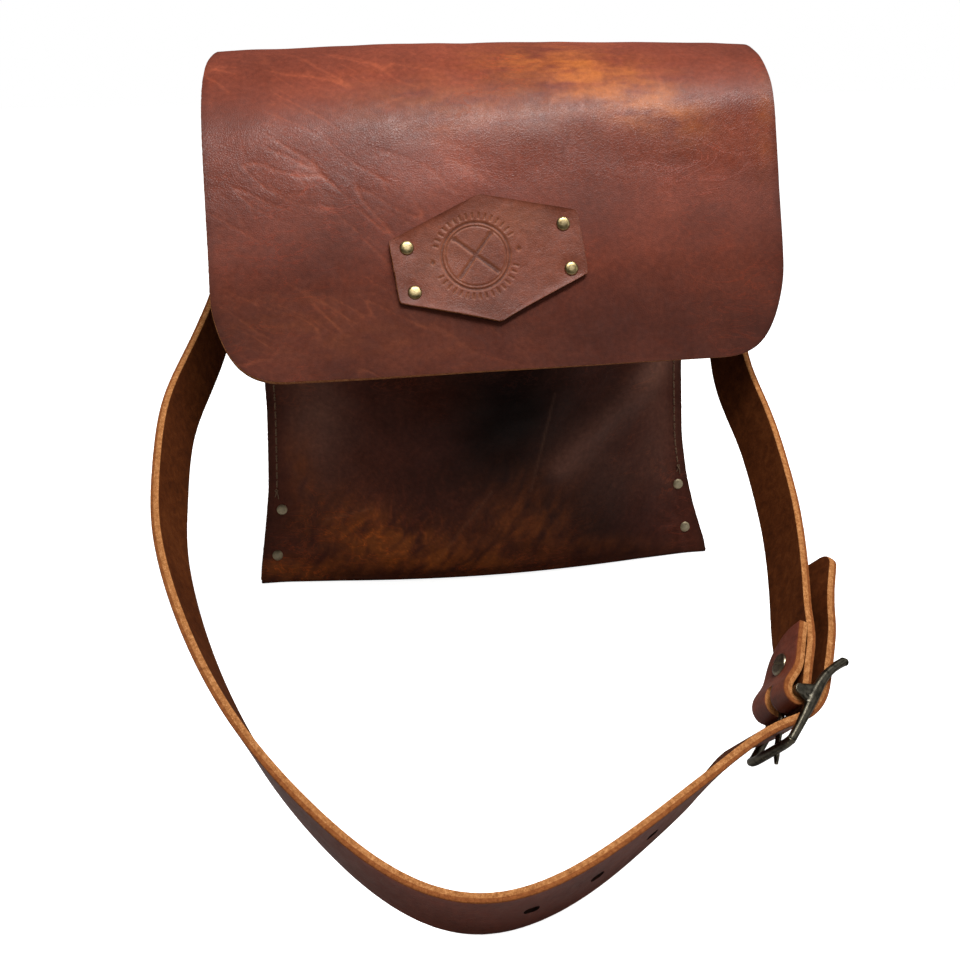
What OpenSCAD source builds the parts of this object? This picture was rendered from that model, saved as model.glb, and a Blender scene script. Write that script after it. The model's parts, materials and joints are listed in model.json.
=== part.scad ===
// Leather drum stick bag: a folded hide pouch, a stiff arched flap with a riveted patch,
// and a two-piece shoulder strap with a centre-bar buckle. Millimetres, +Z up.
// Origin: middle of the bottom fold, on the surface the bag stands on. Front faces -Y.

/* [Pouch] */
// Flat width of the pouch
body_w = 380; // [360:5:400]
// Height of the pouch mouth
body_h = 366; // [360:1:372]
// Thickness of the pouch hide
body_t = 2.5; // [2:0.1:2.8]
// Forward bulge of the front panel
front_bulge = 62; // [50:1:66]

/* [Flap] */
// Width of the flap
flap_w = 394; // [380:2:400]
// Thickness of the flap hide
flap_t = 4; // [3:0.2:4.4]
// Radius of the two front corners
flap_r = 48; // [20:1:60]

/* [Patch] */
// Width across the flats of the six-sided patch
patch_w = 130; // [110:1:140]
// Height between its top and bottom points
patch_h = 87; // [70:1:92]
// Thickness of the patch
patch_t = 2.4; // [1.6:0.1:3]
// Turn of the patch on the flap, in degrees
patch_turn = 6; // [0:0.5:8]

/* [Strap] */
// Width of the strap
strap_w = 38; // [34:1:40]
// Thickness of the strap
strap_t = 5.4; // [4:0.2:5.6]

/* [Hardware] */
// Diameter of the double-cap rivets
cap_d = 9.6; // [8:0.2:11]
// Diameter of the screw post heads
screw_d = 12.6; // [10:0.2:14]
// Diameter of the buckle centre bar
bar_d = 5; // [4:0.2:6]

/* [Hidden] */
$fn = 48;
post_r = 1.6;
hole_r = 1.66;
bt2 = body_t / 2;
gap2 = bt2 + 0.2;

// ---- small maths ----
function unit(v) = v / norm(v);
function cr(a, b, c, d, t) = 0.5 * ((2 * b) + (c - a) * t + (2 * a - 5 * b + 4 * c - d) * t * t + (3 * b - a - 3 * c + d) * t * t * t);
function curve(P, u) = let (n = len(P) - 1, i = min(max(floor(u), 0), n - 1), t = u - i)
    cr(P[max(i - 1, 0)], P[i], P[i + 1], P[min(i + 2, n)], t);
// closed skin from a grid of front points A[i][j] and back points B[i][j]
module sheet_solid(A, B) {
    m = len(A); n = len(A[0]);
    pts = [for (r = A) for (p = r) p, for (r = B) for (p = r) p];
    function a(i, j) = i * n + j;
    function b(i, j) = m * n + i * n + j;
    faces = [
        for (i = [0 : m - 2]) for (j = [0 : n - 2]) each [[a(i, j), a(i, j + 1), a(i + 1, j + 1)], [a(i, j), a(i + 1, j + 1), a(i + 1, j)]],
        for (i = [0 : m - 2]) for (j = [0 : n - 2]) each [[b(i, j), b(i + 1, j + 1), b(i, j + 1)], [b(i, j), b(i + 1, j), b(i + 1, j + 1)]],
        for (j = [0 : n - 2]) each [[a(0, j), b(0, j), b(0, j + 1)], [a(0, j), b(0, j + 1), a(0, j + 1)]],
        for (j = [0 : n - 2]) each [[a(m - 1, j), a(m - 1, j + 1), b(m - 1, j + 1)], [a(m - 1, j), b(m - 1, j + 1), b(m - 1, j)]],
        for (i = [0 : m - 2]) each [[a(i, 0), a(i + 1, 0), b(i + 1, 0)], [a(i, 0), b(i + 1, 0), b(i, 0)]],
        for (i = [0 : m - 2]) each [[a(i, n - 1), b(i, n - 1), b(i + 1, n - 1)], [a(i, n - 1), b(i + 1, n - 1), a(i + 1, n - 1)]]];
    polyhedron(pts, faces);
}

// ---- pouch surface ----
// half width against height, and how far each panel stands off the seam plane
HW = [[0, 190], [12, 188], [30, 183], [75, 176], [150, 173], [250, 177], [330, 184], [366, 187]];
SF = [[0, 17], [5, 18], [12, 23], [30, 33], [75, 48], [150, 62], [250, 58], [330, 46], [366, 42]];
SB = [[0, 1], [5, 6], [12, 8], [30, 10], [75, 12], [150, 10], [250, 4], [330, 1], [366, 0]];
function half_w(z) = lookup(z, HW) * body_w / 380;
function seam_y(z) = 84 * z / 366;
function bow(u) = let (v = min(abs(u) / 0.93, 1)) pow(1 - v * v, 1.3);
function front_y(u, z) = seam_y(z) - gap2 - front_bulge / 62 * lookup(z, SF) * bow(u);
function back_y(u, z) = seam_y(z) + gap2 + lookup(z, SB) * bow(u);
// k runs down the front, round the fold and up the back
ZR = [366, 330, 290, 250, 210, 170, 135, 100, 70, 45, 25, 12, 5];
NR = len(ZR);
function pouch_pt(u, k) = k < NR ? [u * half_w(ZR[k]), front_y(u, ZR[k]), ZR[k] * body_h / 366]
    : k == NR ? [u * half_w(0), -0.7 - 17 * bow(u), 0.7]
    : k == NR + 1 ? [u * half_w(0), 0.7 + 0.5 * bow(u), 0.7]
    : let (z = ZR[2 * NR + 1 - k]) [u * half_w(z), back_y(u, z), z * body_h / 366];
UC = [-1, -0.965, -0.93, -0.85, -0.75, -0.6, -0.45, -0.3, -0.15, 0, 0.15, 0.3, 0.45, 0.6, 0.75, 0.85, 0.93, 0.965, 1];
function pouch_n(i, k) = let (
    a = pouch_pt(UC[min(i + 1, len(UC) - 1)], k) - pouch_pt(UC[max(i - 1, 0)], k),
    b = pouch_pt(UC[i], min(k + 1, 2 * NR + 1)) - pouch_pt(UC[i], max(k - 1, 0))) unit(cross(a, b));
module pouch_skin() {
    O = [for (k = [0 : 2 * NR + 1]) [for (i = [0 : len(UC) - 1]) pouch_pt(UC[i], k) - bt2 * pouch_n(i, k)]];
    I = [for (k = [0 : 2 * NR + 1]) [for (i = [0 : len(UC) - 1]) pouch_pt(UC[i], k) + bt2 * pouch_n(i, k)]];
    sheet_solid(O, I);
}
// corner rivets: height, inset from the edge
CORNER_Z = [23, 60];
function corner_x(z) = half_w(z) - 10;
lean = atan(84 / 366);
// frame at a point in the seam plane
module seam_at(x, z) translate([x, seam_y(z), z]) rotate([lean < 0 ? 0 : -lean, 0, 0]) rotate([90, 0, 0]) children();
module corner_holes(r) for (s = [-1, 1]) for (z = CORNER_Z) seam_at(s * corner_x(z), z) cylinder(r = r, h = 20, center = true);

// ---- flap surface: left and right profiles, from the sewn end to the front edge ----
FL = [[82.6, 330], [86.6, 348], [90, 366], [83, 388], [61, 403], [34, 408], [4, 402], [-26, 383], [-48, 360], [-69, 325], [-88, 287], [-113, 250], [-143, 215]];
FR = [[82.6, 330], [86.6, 348], [90, 366], [83, 388], [62, 402], [34, 408], [4, 407], [-25, 396], [-45, 377], [-63, 337], [-80, 295], [-97, 252], [-113, 210]];
FLAP_BOW = 4;
function flap_yz(x, s) = let (a = (x / flap_w) + 0.5) curve(FL, s) * (1 - a) + curve(FR, s) * a;
function flap_mid(x, s) = let (p = flap_yz(x, s), v = 2 * x / flap_w, k = max(0, 1 - abs(s - 5.5) / 3.2)) [x, p[0], p[1] + FLAP_BOW * (1 - v * v) * k * k * (3 - 2 * k)];
function flap_nrm(x, s) = let (d = flap_yz(x, min(s + 0.05, 12)) - flap_yz(x, max(s - 0.05, 0))) unit([0, d[1], -d[0]]);
function flap_half(s) = let (d = (12 - s) * 45.5, q = max(flap_r - 0.74 * d, 0)) flap_w / 2 - flap_r + sqrt(max(flap_r * flap_r - q * q, 0.01));
module flap_skin(s0, s1, rows) {
    S = [for (s = rows) s];
    X = [-1, -0.95, -0.9, -0.8, -0.6, -0.3, 0, 0.3, 0.6, 0.8, 0.9, 0.95, 1];
    A = [for (s = S) [for (u = X) flap_mid(u * flap_half(s), s) + flap_t / 2 * flap_nrm(u * flap_half(s), s)]];
    B = [for (s = S) [for (u = X) flap_mid(u * flap_half(s), s) - flap_t / 2 * flap_nrm(u * flap_half(s), s)]];
    sheet_solid(A, B);
}
FLAP_ROWS = [2.02, 2.35, 2.7, 3, 3.35, 3.7, 4, 4.5, 5, 5.5, 6, 6.5, 7, 7.5, 8, 8.5, 9, 9.5, 10, 10.4, 10.75, 11, 11.2, 11.4, 11.55, 11.68, 11.78, 11.86, 11.92, 11.96, 11.985, 12];
TAB_ROWS = [0, 0.5, 1, 1.5, 1.98];

// ---- patch on the flap ----
patch_s = 10.27;
patch_x = -12;
patch_lift = flap_t / 2 + 0.35 + patch_t / 2;
mm_s = 44.5;
function patch_pt(a, b, h) = let (x = patch_x + a * cos(patch_turn) - b * sin(patch_turn), s = patch_s - (a * sin(patch_turn) + b * cos(patch_turn)) / mm_s)
    flap_mid(x, s) + h * flap_nrm(x, s);
function hexa(b) = let (f = patch_h / 2, q = patch_h / 2 - 22) abs(b) <= q ? patch_w / 2 : patch_w / 2 * (f - abs(b)) / (f - q) + 0.6;
PB = [-1, -0.8, -0.66, -0.494, -0.25, 0, 0.25, 0.494, 0.66, 0.8, 1];
PR = [[-54, 15], [-54, -16], [54, 14], [54, -17]];
module patch_at(a, b) {
    p = patch_pt(a, b, patch_lift);
    n = flap_nrm(p[0], patch_s - (a * sin(patch_turn) + b * cos(patch_turn)) / mm_s);
    translate(p) rotate([acos(n[2]), 0, 0]) children();
}
module patch_holes(r) for (q = PR) patch_at(q[0], q[1]) cylinder(r = r, h = 16, center = true);

// ---- buckle frame of reference: bar axis runs across the strap ----
BO = [137, -321, 68.5];
BW = unit([-0.22, 0.6, -0.77]);
BT0 = [-0.344, -0.84, -0.42];
BT = unit(BT0 - (BT0 * BW) * BW);
BN = cross(BT, BW);
function bp(p, q) = BO + p * BT + q * BN;
module at_buckle() multmatrix([[BT[0], BN[0], -BW[0], BO[0]], [BT[1], BN[1], -BW[1], BO[1]], [BT[2], BN[2], -BW[2], BO[2]], [0, 0, 0, 1]]) children();

// ---- strap: near edge points, and the direction across the strap at each ----
LONG = [[-200, 32, 272], [-202, 2, 252], [-211, -42, 235], [-222, -89, 217], [-231, -122, 203], [-233, -154, 186], [-232, -210, 156], [-218, -260, 128],
    [-197, -306, 102], [-168, -349.4, 79], [-132, -386.4, 58], [-104, -407, 46.6], [-76.3, -418, 38.6], [-46.6, -416.6, 36.8], [-15, -406.5, 38.8], [20, -388.7, 43.9], [59.5, -367.2, 52],
    bp(41, -30), bp(26, -15.5), bp(12, 1.5), bp(3, 8.5), bp(-7, 12), bp(-20, 13), [167.4, -285, 87.2], [170.6, -274, 96.6], [175, -262, 105], [185.5, -240, 116.5]];
LONGW = [[0.1, 0.15, -0.98], [0.18, 0.25, -0.95], [0.24, 0.36, -0.9], [0.3, 0.42, -0.85], [0.34, 0.44, -0.83], [0.34, 0.45, -0.82], [0.33, 0.46, -0.82], [0.28, 0.47, -0.84],
    [0.22, 0.5, -0.84], [0.15, 0.46, -0.88], [0.08, 0.43, -0.9], [0.03, 0.41, -0.91], [0, 0.4, -0.916], [0, 0.39, -0.92], [0, 0.39, -0.92], [-0.04, 0.4, -0.915], [-0.14, 0.46, -0.88],
    BW, BW, BW, BW, BW, BW, BW, [-0.24, 0.65, -0.72], [-0.25, 0.69, -0.68], [-0.27, 0.72, -0.64], [-0.28, 0.74, -0.61]];
SHORT = [[195, 32, 274], [193, 0, 250], [188, -40, 222], [182, -80, 193], [185, -112, 175], [183, -146, 157], [180, -178, 141], [175, -208, 125],
    [168, -236, 111], [160, -263, 97], bp(-40, 0), bp(-20, 0), bp(-8, 0), bp(0, 0), bp(4.2, -1.8), bp(6, -6), bp(4.2, -10.2), bp(0, -12), bp(-5, -11.4), bp(-12, -8), bp(-18, -5.9), bp(-30, -5.7), bp(-47, -5.7)];
SHORTW = [[-0.1, 0.15, -0.98], [-0.22, 0.25, -0.94], [-0.42, 0.36, -0.83], [-0.36, 0.43, -0.83], [-0.3, 0.45, -0.84], [-0.31, 0.47, -0.82], [-0.31, 0.49, -0.82], [-0.31, 0.5, -0.81],
    [-0.3, 0.52, -0.8], [-0.28, 0.55, -0.79], BW, BW, BW, BW, BW, BW, BW, BW, BW, BW, BW, BW, BW];
ENDL = [[-92, 79.4, 300], [-125, 79.4, 300], [-155, 77.9, 299], [-181, 74.6, 296], [-195, 60, 290], [-200, 32, 272]];
ENDLW = [[0, -0.23, -0.97], [0, -0.23, -0.97], [0, -0.22, -0.97], [0.02, -0.1, -0.99], [0.04, 0.04, -1], [0.1, 0.15, -0.98]];
ENDR = [[92, 79.4, 300], [125, 79.4, 300], [155, 77.9, 299], [179, 74.6, 295], [192, 60, 288], [195, 32, 274]];
ENDRW = [[0, -0.23, -0.97], [0, -0.23, -0.97], [0, -0.22, -0.97], [-0.02, -0.1, -0.99], [-0.04, 0.04, -1], [-0.1, 0.15, -0.98]];
function tang(P, u) = let (n = len(P) - 1) unit(curve(P, min(u + 0.05, n)) - curve(P, max(u - 0.05, 0)));
function across(P, W, u) = let (q = curve(W, u), T = tang(P, u)) unit(q - (q * T) * T);
// ring of four corners
function ring(P, W, u, w, t) = let (p = curve(P, u), D = across(P, W, u), N = cross(tang(P, u), D))
    [p + t / 2 * N, p + w * D + t / 2 * N, p + w * D - t / 2 * N, p - t / 2 * N];
module band(P, W, us) {
    m = len(us);
    R = [for (u = us) ring(P, W, u, strap_w, strap_t)];
    polyhedron([for (r = R) for (p = r) p], [
        [0, 2, 1], [0, 3, 2], [4 * m - 4, 4 * m - 3, 4 * m - 2], [4 * m - 4, 4 * m - 2, 4 * m - 1],
        for (i = [0 : m - 2]) for (j = [0 : 3]) let (a = 4 * i + j, b = 4 * i + (j + 1) % 4) each [[a, b + 4, a + 4], [a, b, b + 4]]]);
}
function steps(a, b, d) = [for (i = [0 : floor((b - a) / d + 0.001)]) min(a + i * d, b)];
// a tool placed on the strap at curve place u, v across, its axis square to the face
module on_strap(P, W, u, v) {
    p = curve(P, u); D = across(P, W, u); T = tang(P, u); N = cross(T, D);
    o = p + v * D;
    multmatrix([[T[0], D[0], N[0], o[0]], [T[1], D[1], N[1], o[1]], [T[2], D[2], N[2], o[2]], [0, 0, 0, 1]]) children();
}
module oval(r, l, h) for (s = [-0.5, 0, 0.5]) translate([s * l, 0, 0]) cylinder(r = r, h = h, center = true);

// ---- rivets ----
module cap(h = 1.6) rotate_extrude() polygon([[0, 0], [cap_d / 2 - 0.3, 0], [cap_d / 2, 0.35], [cap_d / 2 - 0.25, 0.9], [cap_d / 2 - 1.4, h - 0.15], [cap_d / 2 - 2.6, h], [0, h]]);
CAP_GAP = 0.05;

module pouch() color("saddlebrown") difference() { pouch_skin(); corner_holes(hole_r); anchor_holes(hole_r); translate([-250, -60, -20]) cube([500, 100, 20]); }
module stitch_run(s) {
    for (z = [78 : 13 : 352]) translate([s * (half_w(z) - 7), seam_y(z), z]) rotate([-lean, 0, 0]) {
        rotate([90, 0, 0]) translate([0, 0, gap2 + bt2 + 0.05]) translate([-0.5, 0, 0]) cube([1, 9, 0.8]);
        rotate([90, 0, 0]) translate([0, 0, -gap2 - bt2 - 0.85]) translate([-0.5, 0, 0]) cube([1, 9, 0.8]);
    }
}
module side_thread_left() color("#4a2a16") stitch_run(-1);
module side_thread_right() color("#4a2a16") stitch_run(1);
module corner_rivet_caps() color("#7a6a3c") for (s = [-1, 1]) for (z = CORNER_Z) seam_at(s * corner_x(z), z) { translate([0, 0, gap2 + bt2 + CAP_GAP]) cap(); rotate([180, 0, 0]) translate([0, 0, gap2 + bt2 + CAP_GAP]) cap(); }
module corner_rivet_posts() color("#8a7a4a") for (s = [-1, 1]) for (z = CORNER_Z) seam_at(s * corner_x(z), z) cylinder(r = post_r, h = 2 * (gap2 + bt2 + CAP_GAP), center = true);

module flap_tab() color("#6b2f1c") flap_skin(0, 2, TAB_ROWS);
module flap_thread() color("#4a2a16") for (x = [-176 : 16 : 168]) translate([x, 87.5, 341]) rotate([-12, 0, 0]) cube([10, 0.8, 1]);
module flap() color("#6b2f1c") difference() { flap_skin(2, 12, FLAP_ROWS); patch_holes(hole_r); }
module patch() color("#7c3620") difference() {
    sheet_solid([for (k = PB) let (b = k * patch_h / 2, h = hexa(b)) [for (u = [-1, -0.66, -0.33, 0, 0.33, 0.66, 1]) patch_pt(u * h, b, patch_lift - patch_t / 2)]],
        [for (k = PB) let (b = k * patch_h / 2, h = hexa(b)) [for (u = [-1, -0.66, -0.33, 0, 0.33, 0.66, 1]) patch_pt(u * h, b, patch_lift + patch_t / 2)]]);
    patch_holes(hole_r);
}
pl = patch_t / 2 + CAP_GAP + 0.12;
fl = patch_lift + flap_t / 2 + CAP_GAP + 0.12;
module patch_rivet_caps() color("#7a6a3c") for (q = PR) patch_at(q[0], q[1]) { translate([0, 0, pl]) cap(); rotate([180, 0, 0]) translate([0, 0, fl]) cap(); }
module patch_rivet_posts() color("#8a7a4a") for (q = PR) patch_at(q[0], q[1]) translate([0, 0, -fl]) cylinder(r = post_r, h = fl + pl);

// anchor rivets through the strap ends and the back panel
AX = [100, 126];
module anchor_at() for (s = [-1, 1]) for (x = AX) translate([s * x, 79.4 - 4.2, 300 - 18.5]) rotate([-lean, 0, 0]) rotate([-90, 0, 0]) children();
module anchor_holes(r) anchor_at() cylinder(r = r, h = 24, center = true);
module anchor_rivet_caps() color("#7a6a3c") anchor_at() { translate([0, 0, strap_t / 2 + CAP_GAP + 0.1]) cap(); rotate([180, 0, 0]) translate([0, 0, anchor_in]) cap(); }
module anchor_rivet_posts() color("#8a7a4a") anchor_at() translate([0, 0, -anchor_in]) cylinder(r = post_r, h = anchor_in + strap_t / 2 + CAP_GAP + 0.1);
anchor_in = 9.9;
END_U = [0, 0.5, 1, 1.4, 1.8, 2.2, 2.6, 2.85, 3.1, 3.3, 3.5];
module strap_end_left() color("#5c2a1a") difference() { band(ENDL, ENDLW, END_U); anchor_holes(hole_r); }
module strap_end_right() color("#5c2a1a") difference() { band(ENDR, ENDRW, END_U); anchor_holes(hole_r); }

HOLES = [13.26, 14.37, 15.3, 16.2, 24.3];
module strap_long() color("#5c2a1a") difference() {
    band(LONG, LONGW, concat([0.04], steps(0.5, 16.5, 0.5), steps(16.75, 26, 0.25)));
    for (u = HOLES) on_strap(LONG, LONGW, u, strap_w / 2) oval(2.4, 2.4, 14);
    at_buckle() translate([15.6, -3.6, -strap_w / 2]) rotate([0, 0, 90]) rotate([90, 0, 0]) for (s = [-2.2, 0, 2.2]) translate([s, 0, 0]) cylinder(r = 2.7, h = 26, center = true);
}
module strap_short() color("#5c2a1a") difference() {
    band(SHORT, SHORTW, concat([0.04], steps(0.5, 11, 0.5), steps(11.5, 22, 0.25)));
    at_buckle() translate([-24, -2.8, -strap_w / 2]) rotate([90, 0, 0]) cylinder(r = 3.15, h = 20, center = true);
    at_buckle() translate([-7, -25, -strap_w / 2 - 3]) cube([22, 28, 6]);
}
module screw_post() color("#8c7c52") at_buckle() translate([-24, 0, -strap_w / 2]) rotate([-90, 0, 0]) {
    translate([0, 0, strap_t / 2 + 0.06]) cylinder(d = screw_d, h = 1.6);
    difference() { translate([0, 0, -8.3]) cylinder(r = 3, h = 8.3 + strap_t / 2 + 0.06); translate([0, 0, -8.4]) cylinder(r = 2.05, h = 6); }
}
module screw() color("#8c7c52") at_buckle() translate([-24, 0, -strap_w / 2]) rotate([90, 0, 0]) {
    difference() { translate([0, 0, 8.7]) cylinder(d = screw_d, h = 1.7); translate([-0.7, -10, 9.8]) cube([1.4, 20, 2]); }
    translate([0, 0, 3]) cylinder(r = 2, h = 5.7);
}
// side rails follow an arched outline; end bars are round and cross the strap outside it
RO = [[-29.5, 20.5], [-24, 15.5], [-16, 9.8], [-8, 6], [-1, 3.6], [8, 0.6], [18, -2.8], [27, -6.2], [33, -8.6]];
function rail(i, o) = let (d = unit(RO[min(i + 1, len(RO) - 1)] - RO[max(i - 1, 0)])) RO[i] + o * [-d[1], d[0]];
module rail_2d() union() {
    polygon(concat([for (i = [0 : len(RO) - 1]) rail(i, 2.3)], [for (i = [len(RO) - 1 : -1 : 0]) rail(i, -2.3)]));
    polygon([[-12, 6], [-5, -9.6], [3.5, -8.4], [6, 0]]);
}
RAIL_T = 4;
module buckle_frame() color("#3c3a34") at_buckle() {
    for (z = [0.9, -strap_w - 0.9 - RAIL_T]) translate([0, 0, z]) difference() { linear_extrude(RAIL_T) rail_2d(); translate([0, -6, -1]) cylinder(r = bar_d / 2 + 0.02, h = RAIL_T + 2); }
    for (e = [RO[0], RO[len(RO) - 1]]) translate([e[0], e[1], -strap_w - 0.9 - RAIL_T]) cylinder(r = 2.4, h = strap_w + 1.8 + 2 * RAIL_T);
}
module buckle_bar() color("#4a4840") at_buckle() translate([0, -6, -strap_w - 0.9 - RAIL_T]) cylinder(d = bar_d, h = strap_w + 1.8 + 2 * RAIL_T);
module buckle_prong() color("#4a4840") at_buckle() translate([0, 0, -strap_w / 2]) {
    translate([0, -6, -2]) difference() { cylinder(r = 4.9, h = 4); translate([0, 0, -1]) cylinder(r = bar_d / 2 + 0.06, h = 6); }
    translate([4.2, -4.3, 0]) rotate([0, 90, 0]) cylinder(r = 1.6, h = 34);
}

pouch();
side_thread_left();
side_thread_right();
corner_rivet_caps();
corner_rivet_posts();
flap_tab();
flap_thread();
flap();
patch();
patch_rivet_caps();
patch_rivet_posts();
strap_end_left();
strap_end_right();
anchor_rivet_caps();
anchor_rivet_posts();
strap_long();
strap_short();
screw_post();
screw();
buckle_frame();
buckle_bar();
buckle_prong();
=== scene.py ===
import bpy
import bmesh
import json
import math
import numpy as np
from mathutils import Matrix, Vector
from mathutils.kdtree import KDTree
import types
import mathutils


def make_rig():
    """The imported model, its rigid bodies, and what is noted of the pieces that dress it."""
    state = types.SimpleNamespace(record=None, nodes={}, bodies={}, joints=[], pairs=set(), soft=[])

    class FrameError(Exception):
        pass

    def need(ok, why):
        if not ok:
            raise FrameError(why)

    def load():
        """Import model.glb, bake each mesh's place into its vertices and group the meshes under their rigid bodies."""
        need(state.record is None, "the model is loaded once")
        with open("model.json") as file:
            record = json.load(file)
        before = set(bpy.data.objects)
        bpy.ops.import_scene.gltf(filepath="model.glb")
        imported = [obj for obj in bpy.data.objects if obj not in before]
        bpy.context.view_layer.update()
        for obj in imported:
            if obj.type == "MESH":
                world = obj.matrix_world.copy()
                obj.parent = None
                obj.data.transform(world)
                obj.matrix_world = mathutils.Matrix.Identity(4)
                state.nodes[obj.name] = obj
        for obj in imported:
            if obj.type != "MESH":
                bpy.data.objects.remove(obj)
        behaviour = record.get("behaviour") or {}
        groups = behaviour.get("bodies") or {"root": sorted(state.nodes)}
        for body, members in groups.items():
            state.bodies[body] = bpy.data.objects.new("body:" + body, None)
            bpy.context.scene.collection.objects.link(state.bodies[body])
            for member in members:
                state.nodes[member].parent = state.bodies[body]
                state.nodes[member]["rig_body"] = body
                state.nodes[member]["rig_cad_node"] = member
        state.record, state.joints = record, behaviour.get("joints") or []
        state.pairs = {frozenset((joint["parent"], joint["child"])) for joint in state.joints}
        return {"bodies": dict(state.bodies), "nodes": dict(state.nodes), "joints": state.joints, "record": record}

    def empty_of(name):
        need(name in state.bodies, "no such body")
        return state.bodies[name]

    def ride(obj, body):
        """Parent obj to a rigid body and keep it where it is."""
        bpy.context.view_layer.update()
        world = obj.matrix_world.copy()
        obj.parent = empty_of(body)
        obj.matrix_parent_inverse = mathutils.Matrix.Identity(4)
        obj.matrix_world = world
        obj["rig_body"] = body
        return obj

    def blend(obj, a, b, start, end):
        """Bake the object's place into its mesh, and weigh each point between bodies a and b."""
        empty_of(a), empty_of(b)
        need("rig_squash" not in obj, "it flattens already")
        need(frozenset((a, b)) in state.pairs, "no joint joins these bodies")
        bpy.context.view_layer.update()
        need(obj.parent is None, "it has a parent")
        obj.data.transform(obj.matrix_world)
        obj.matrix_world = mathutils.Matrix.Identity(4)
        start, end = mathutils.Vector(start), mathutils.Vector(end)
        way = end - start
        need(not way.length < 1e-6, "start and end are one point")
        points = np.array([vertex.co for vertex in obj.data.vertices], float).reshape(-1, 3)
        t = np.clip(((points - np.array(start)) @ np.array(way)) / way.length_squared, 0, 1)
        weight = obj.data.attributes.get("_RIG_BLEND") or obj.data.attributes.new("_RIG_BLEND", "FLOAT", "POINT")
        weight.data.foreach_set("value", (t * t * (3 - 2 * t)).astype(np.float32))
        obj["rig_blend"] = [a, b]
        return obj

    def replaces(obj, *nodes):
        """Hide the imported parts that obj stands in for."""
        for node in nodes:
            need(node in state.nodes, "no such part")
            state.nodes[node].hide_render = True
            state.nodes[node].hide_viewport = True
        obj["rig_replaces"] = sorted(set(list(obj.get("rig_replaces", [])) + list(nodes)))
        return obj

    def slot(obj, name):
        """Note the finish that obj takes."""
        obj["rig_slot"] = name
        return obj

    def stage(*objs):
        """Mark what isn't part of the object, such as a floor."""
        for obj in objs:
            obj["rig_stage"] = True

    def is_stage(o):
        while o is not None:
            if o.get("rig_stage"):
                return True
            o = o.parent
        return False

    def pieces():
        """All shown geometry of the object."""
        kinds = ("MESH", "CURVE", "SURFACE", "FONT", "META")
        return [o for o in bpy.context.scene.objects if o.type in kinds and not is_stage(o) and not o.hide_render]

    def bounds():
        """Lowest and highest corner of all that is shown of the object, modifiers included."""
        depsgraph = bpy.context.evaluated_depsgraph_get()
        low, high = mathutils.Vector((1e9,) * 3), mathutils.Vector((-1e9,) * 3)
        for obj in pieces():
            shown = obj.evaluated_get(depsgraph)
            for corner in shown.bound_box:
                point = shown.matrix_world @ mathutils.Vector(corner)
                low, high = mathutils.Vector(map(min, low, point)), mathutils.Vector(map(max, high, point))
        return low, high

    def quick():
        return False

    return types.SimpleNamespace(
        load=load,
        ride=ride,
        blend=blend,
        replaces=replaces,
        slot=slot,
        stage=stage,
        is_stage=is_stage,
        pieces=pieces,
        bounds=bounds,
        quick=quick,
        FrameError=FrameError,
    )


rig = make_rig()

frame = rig.load()
cad_box = [list(v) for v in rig.bounds()]
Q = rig.quick()
V3 = lambda *a: np.array(a, float)


# ---------------------------------------------------------------- small maths
def unit(v):
    v = np.asarray(v, float)
    return v / np.maximum(np.linalg.norm(v, axis=-1, keepdims=True), 1e-12)


def curve(P, u):
    P = np.asarray(P, float)
    n = len(P) - 1
    u = np.asarray(u, float)
    i = np.clip(np.floor(u).astype(int), 0, n - 1)
    t = (u - i)[..., None]
    a, b, c, d = P[np.maximum(i - 1, 0)], P[i], P[i + 1], P[np.minimum(i + 2, n)]
    return 0.5 * ((2 * b) + (c - a) * t + (2 * a - 5 * b + 4 * c - d) * t * t + (3 * b - a - 3 * c + d) * t ** 3)


def smooth(x, a, b):
    t = np.clip((np.asarray(x, float) - a) / (b - a), 0, 1)
    return t * t * (3 - 2 * t)


_G = np.random.RandomState(7)
_PERM = _G.permutation(512)
_PERM = np.concatenate([_PERM, _PERM])
_GRAD = unit(_G.randn(512, 3))


def noise(p, seed=0):
    p = np.asarray(p, float) + seed * 17.31
    i = np.floor(p).astype(int)
    f = p - i
    w = f * f * f * (f * (f * 6 - 15) + 10)
    out = 0
    for dx in (0, 1):
        for dy in (0, 1):
            for dz in (0, 1):
                h = _PERM[(_PERM[(_PERM[(i[..., 0] + dx) & 511] + i[..., 1] + dy) & 511] + i[..., 2] + dz) & 511]
                g = _GRAD[h]
                d = f - np.array([dx, dy, dz])
                k = (w[..., 0] if dx else 1 - w[..., 0]) * (w[..., 1] if dy else 1 - w[..., 1]) * (w[..., 2] if dz else 1 - w[..., 2])
                out = out + k * (g * d).sum(-1)
    return out * 1.6


def fbm(p, seed=0, octaves=4, gain=0.5):
    s, a, k = 0, 1.0, 1.0
    for o in range(octaves):
        s = s + a * noise(np.asarray(p) * k, seed + o * 3)
        a *= gain
        k *= 2.03
    return s


# ---------------------------------------------------------------- camera numbers
CAM = V3(-0.1205, -0.8266, 0.4277)
EL, PSI, ROLL = math.radians(22.6), math.radians(7.81), math.radians(-0.6)
_d = V3(math.sin(PSI) * math.cos(EL), math.cos(PSI) * math.cos(EL), -math.sin(EL))
_r = V3(math.cos(PSI), -math.sin(PSI), 0)
_u = np.cross(_r, _d)
_r2 = math.cos(ROLL) * _r + math.sin(ROLL) * _u
_u2 = -math.sin(ROLL) * _r + math.cos(ROLL) * _u


def pxy(P):
    q = np.asarray(P) - CAM
    z = q @ _d
    return 480 + 1100 * (q @ _r2) / z, 480 - 1100 * (q @ _u2) / z


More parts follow.
